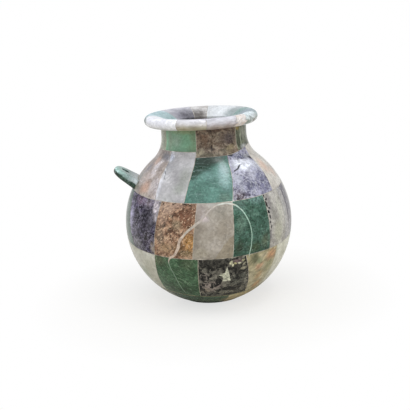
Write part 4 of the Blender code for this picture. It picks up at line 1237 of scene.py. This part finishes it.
paper = Matter("white_paper")
far = paper.add("VectorMath", {0: paper.here}, "Value", operation="LENGTH")
seen, mirrored = ray_kinds(paper)
share = 0.0
for ray, fade, near, away in ((seen, 0.17, 0.68, 1.0), (mirrored, 0.60, 0.0, 0.62)):
    bare = {"Value": far, "From Min": FADE_FROM, "From Max": fade, "To Min": near, "To Max": away}
    lit = paper.add("MapRange", bare)
    share = paper.add("Math", {0: lit, 1: ray, 2: share}, operation="MULTIPLY_ADD")
matt = paper.add("BsdfDiffuse", {"Color": linear("e0dcd2")})
white = paper.add("Emission", {"Color": (1, 1, 1, 1), "Strength": 1.0})
paper.add("OutputMaterial", {"Surface": paper.add("MixShader", {0: share, 1: matt, 2: white})})
mesh = bpy.data.meshes.new("floor_sheet")
corners = [(x * FLOOR_HALF, y * FLOOR_HALF, 0) for x, y in ((-1, -1), (1, -1), (1, 1), (-1, 1))]
mesh.from_pydata(corners, [], [(0, 1, 2, 3)])
mesh.materials.append(paper.material)
floor = bpy.data.objects.new("floor_sheet", mesh)
bpy.context.scene.collection.objects.link(floor)

world = bpy.data.worlds.new("grey_room")
bpy.context.scene.world = world
room = Nodes(world)
seen, mirrored = ray_kinds(room)
level = room.add("Math", {0: seen, 1: 1 - ROOM_LIGHT, 2: ROOM_LIGHT}, operation="MULTIPLY_ADD")
level = room.add("Math", {0: mirrored, 1: MIRRORED_LIGHT, 2: level}, operation="MULTIPLY_ADD")
room.add("OutputWorld", {"Surface": room.add("Background", {"Color": (1, 1, 1, 1), "Strength": level})})


def softbox(name, azimuth, elevation, away, wide, high, power, tint="ffffff", lean=0):
    """A soft light on a stand, aimed at the vase's middle from an azimuth, an elevation and a distance.

    It can lean on its stand, by degrees anticlockwise as the vase sees it.
    """
    lamp = bpy.data.lights.new(name, "AREA")
    lamp.shape = "RECTANGLE"
    lamp.size, lamp.size_y = wide, high
    lamp.energy = power
    lamp.color = linear(tint)[:3]
    stand = bpy.data.objects.new(name, lamp)
    bpy.context.scene.collection.objects.link(stand)
    side, up = math.radians(azimuth), math.radians(elevation)
    place = turned(azimuth, away * math.cos(up), LAMP_AIM + away * math.sin(up))
    turn = Matrix.Rotation(side, 4, "Z") @ Matrix.Rotation(math.pi / 2 - up, 4, "X")
    stand.matrix_world = Matrix.Translation(place) @ turn @ Matrix.Rotation(math.radians(lean), 4, "Z")


softbox("skylight", 20, 56, 1.3, 1.9, 1.9, 15.2, "f7faff")
softbox("top_window", 62, 64.5, 0.9, 0.48, 0.16, 1.0, lean=30)
softbox("left_window", -96, 34, 0.9, 0.34, 0.11, 1.7, "e9eeff", -40)
softbox("back_window", -139, 30, 0.9, 0.46, 0.08, 0.7, "e9eeff", 5)

# Camera
# At the photograph's place: 0.8 m away, 13.9 degrees above level and rolled by 3.2 degrees, aimed at the
# belly. Its distance, focal length and centre, the last two in pixels of the photograph, fit the outline.
PHOTO_SIZE = 410
SENSOR_WIDTH = 36
CAMERA_AWAY = 0.800
CAMERA_RISE = math.radians(13.89)
CAMERA_ROLL = math.radians(3.21)
CAMERA_FOCAL = 880.28
CAMERA_CENTRE = (208.29, 213.29)
AIM_HEIGHT = 0.076
back = np.array((0, -math.cos(CAMERA_RISE), math.sin(CAMERA_RISE)))
level = np.array((1.0, 0, 0))
upright = np.cross(level, -back)
camera = bpy.data.cameras.new("camera")
camera.sensor_width = SENSOR_WIDTH
camera.lens = CAMERA_FOCAL / PHOTO_SIZE * SENSOR_WIDTH
camera.shift_x = 0.5 - CAMERA_CENTRE[0] / PHOTO_SIZE
camera.shift_y = CAMERA_CENTRE[1] / PHOTO_SIZE - 0.5
camera.clip_start = 0.05
view = bpy.data.objects.new("camera", camera)
bpy.context.scene.collection.objects.link(view)
matrix = np.eye(4)
matrix[:3, 0] = level * math.cos(CAMERA_ROLL) - upright * math.sin(CAMERA_ROLL)
matrix[:3, 1] = upright * math.cos(CAMERA_ROLL) + level * math.sin(CAMERA_ROLL)
matrix[:3, 2] = back
matrix[:3, 3] = back * CAMERA_AWAY + np.array((0, 0, AIM_HEIGHT))
view.matrix_world = Matrix(matrix.tolist())
bpy.context.scene.camera = view
bpy.context.scene.view_settings.view_transform = "Standard"
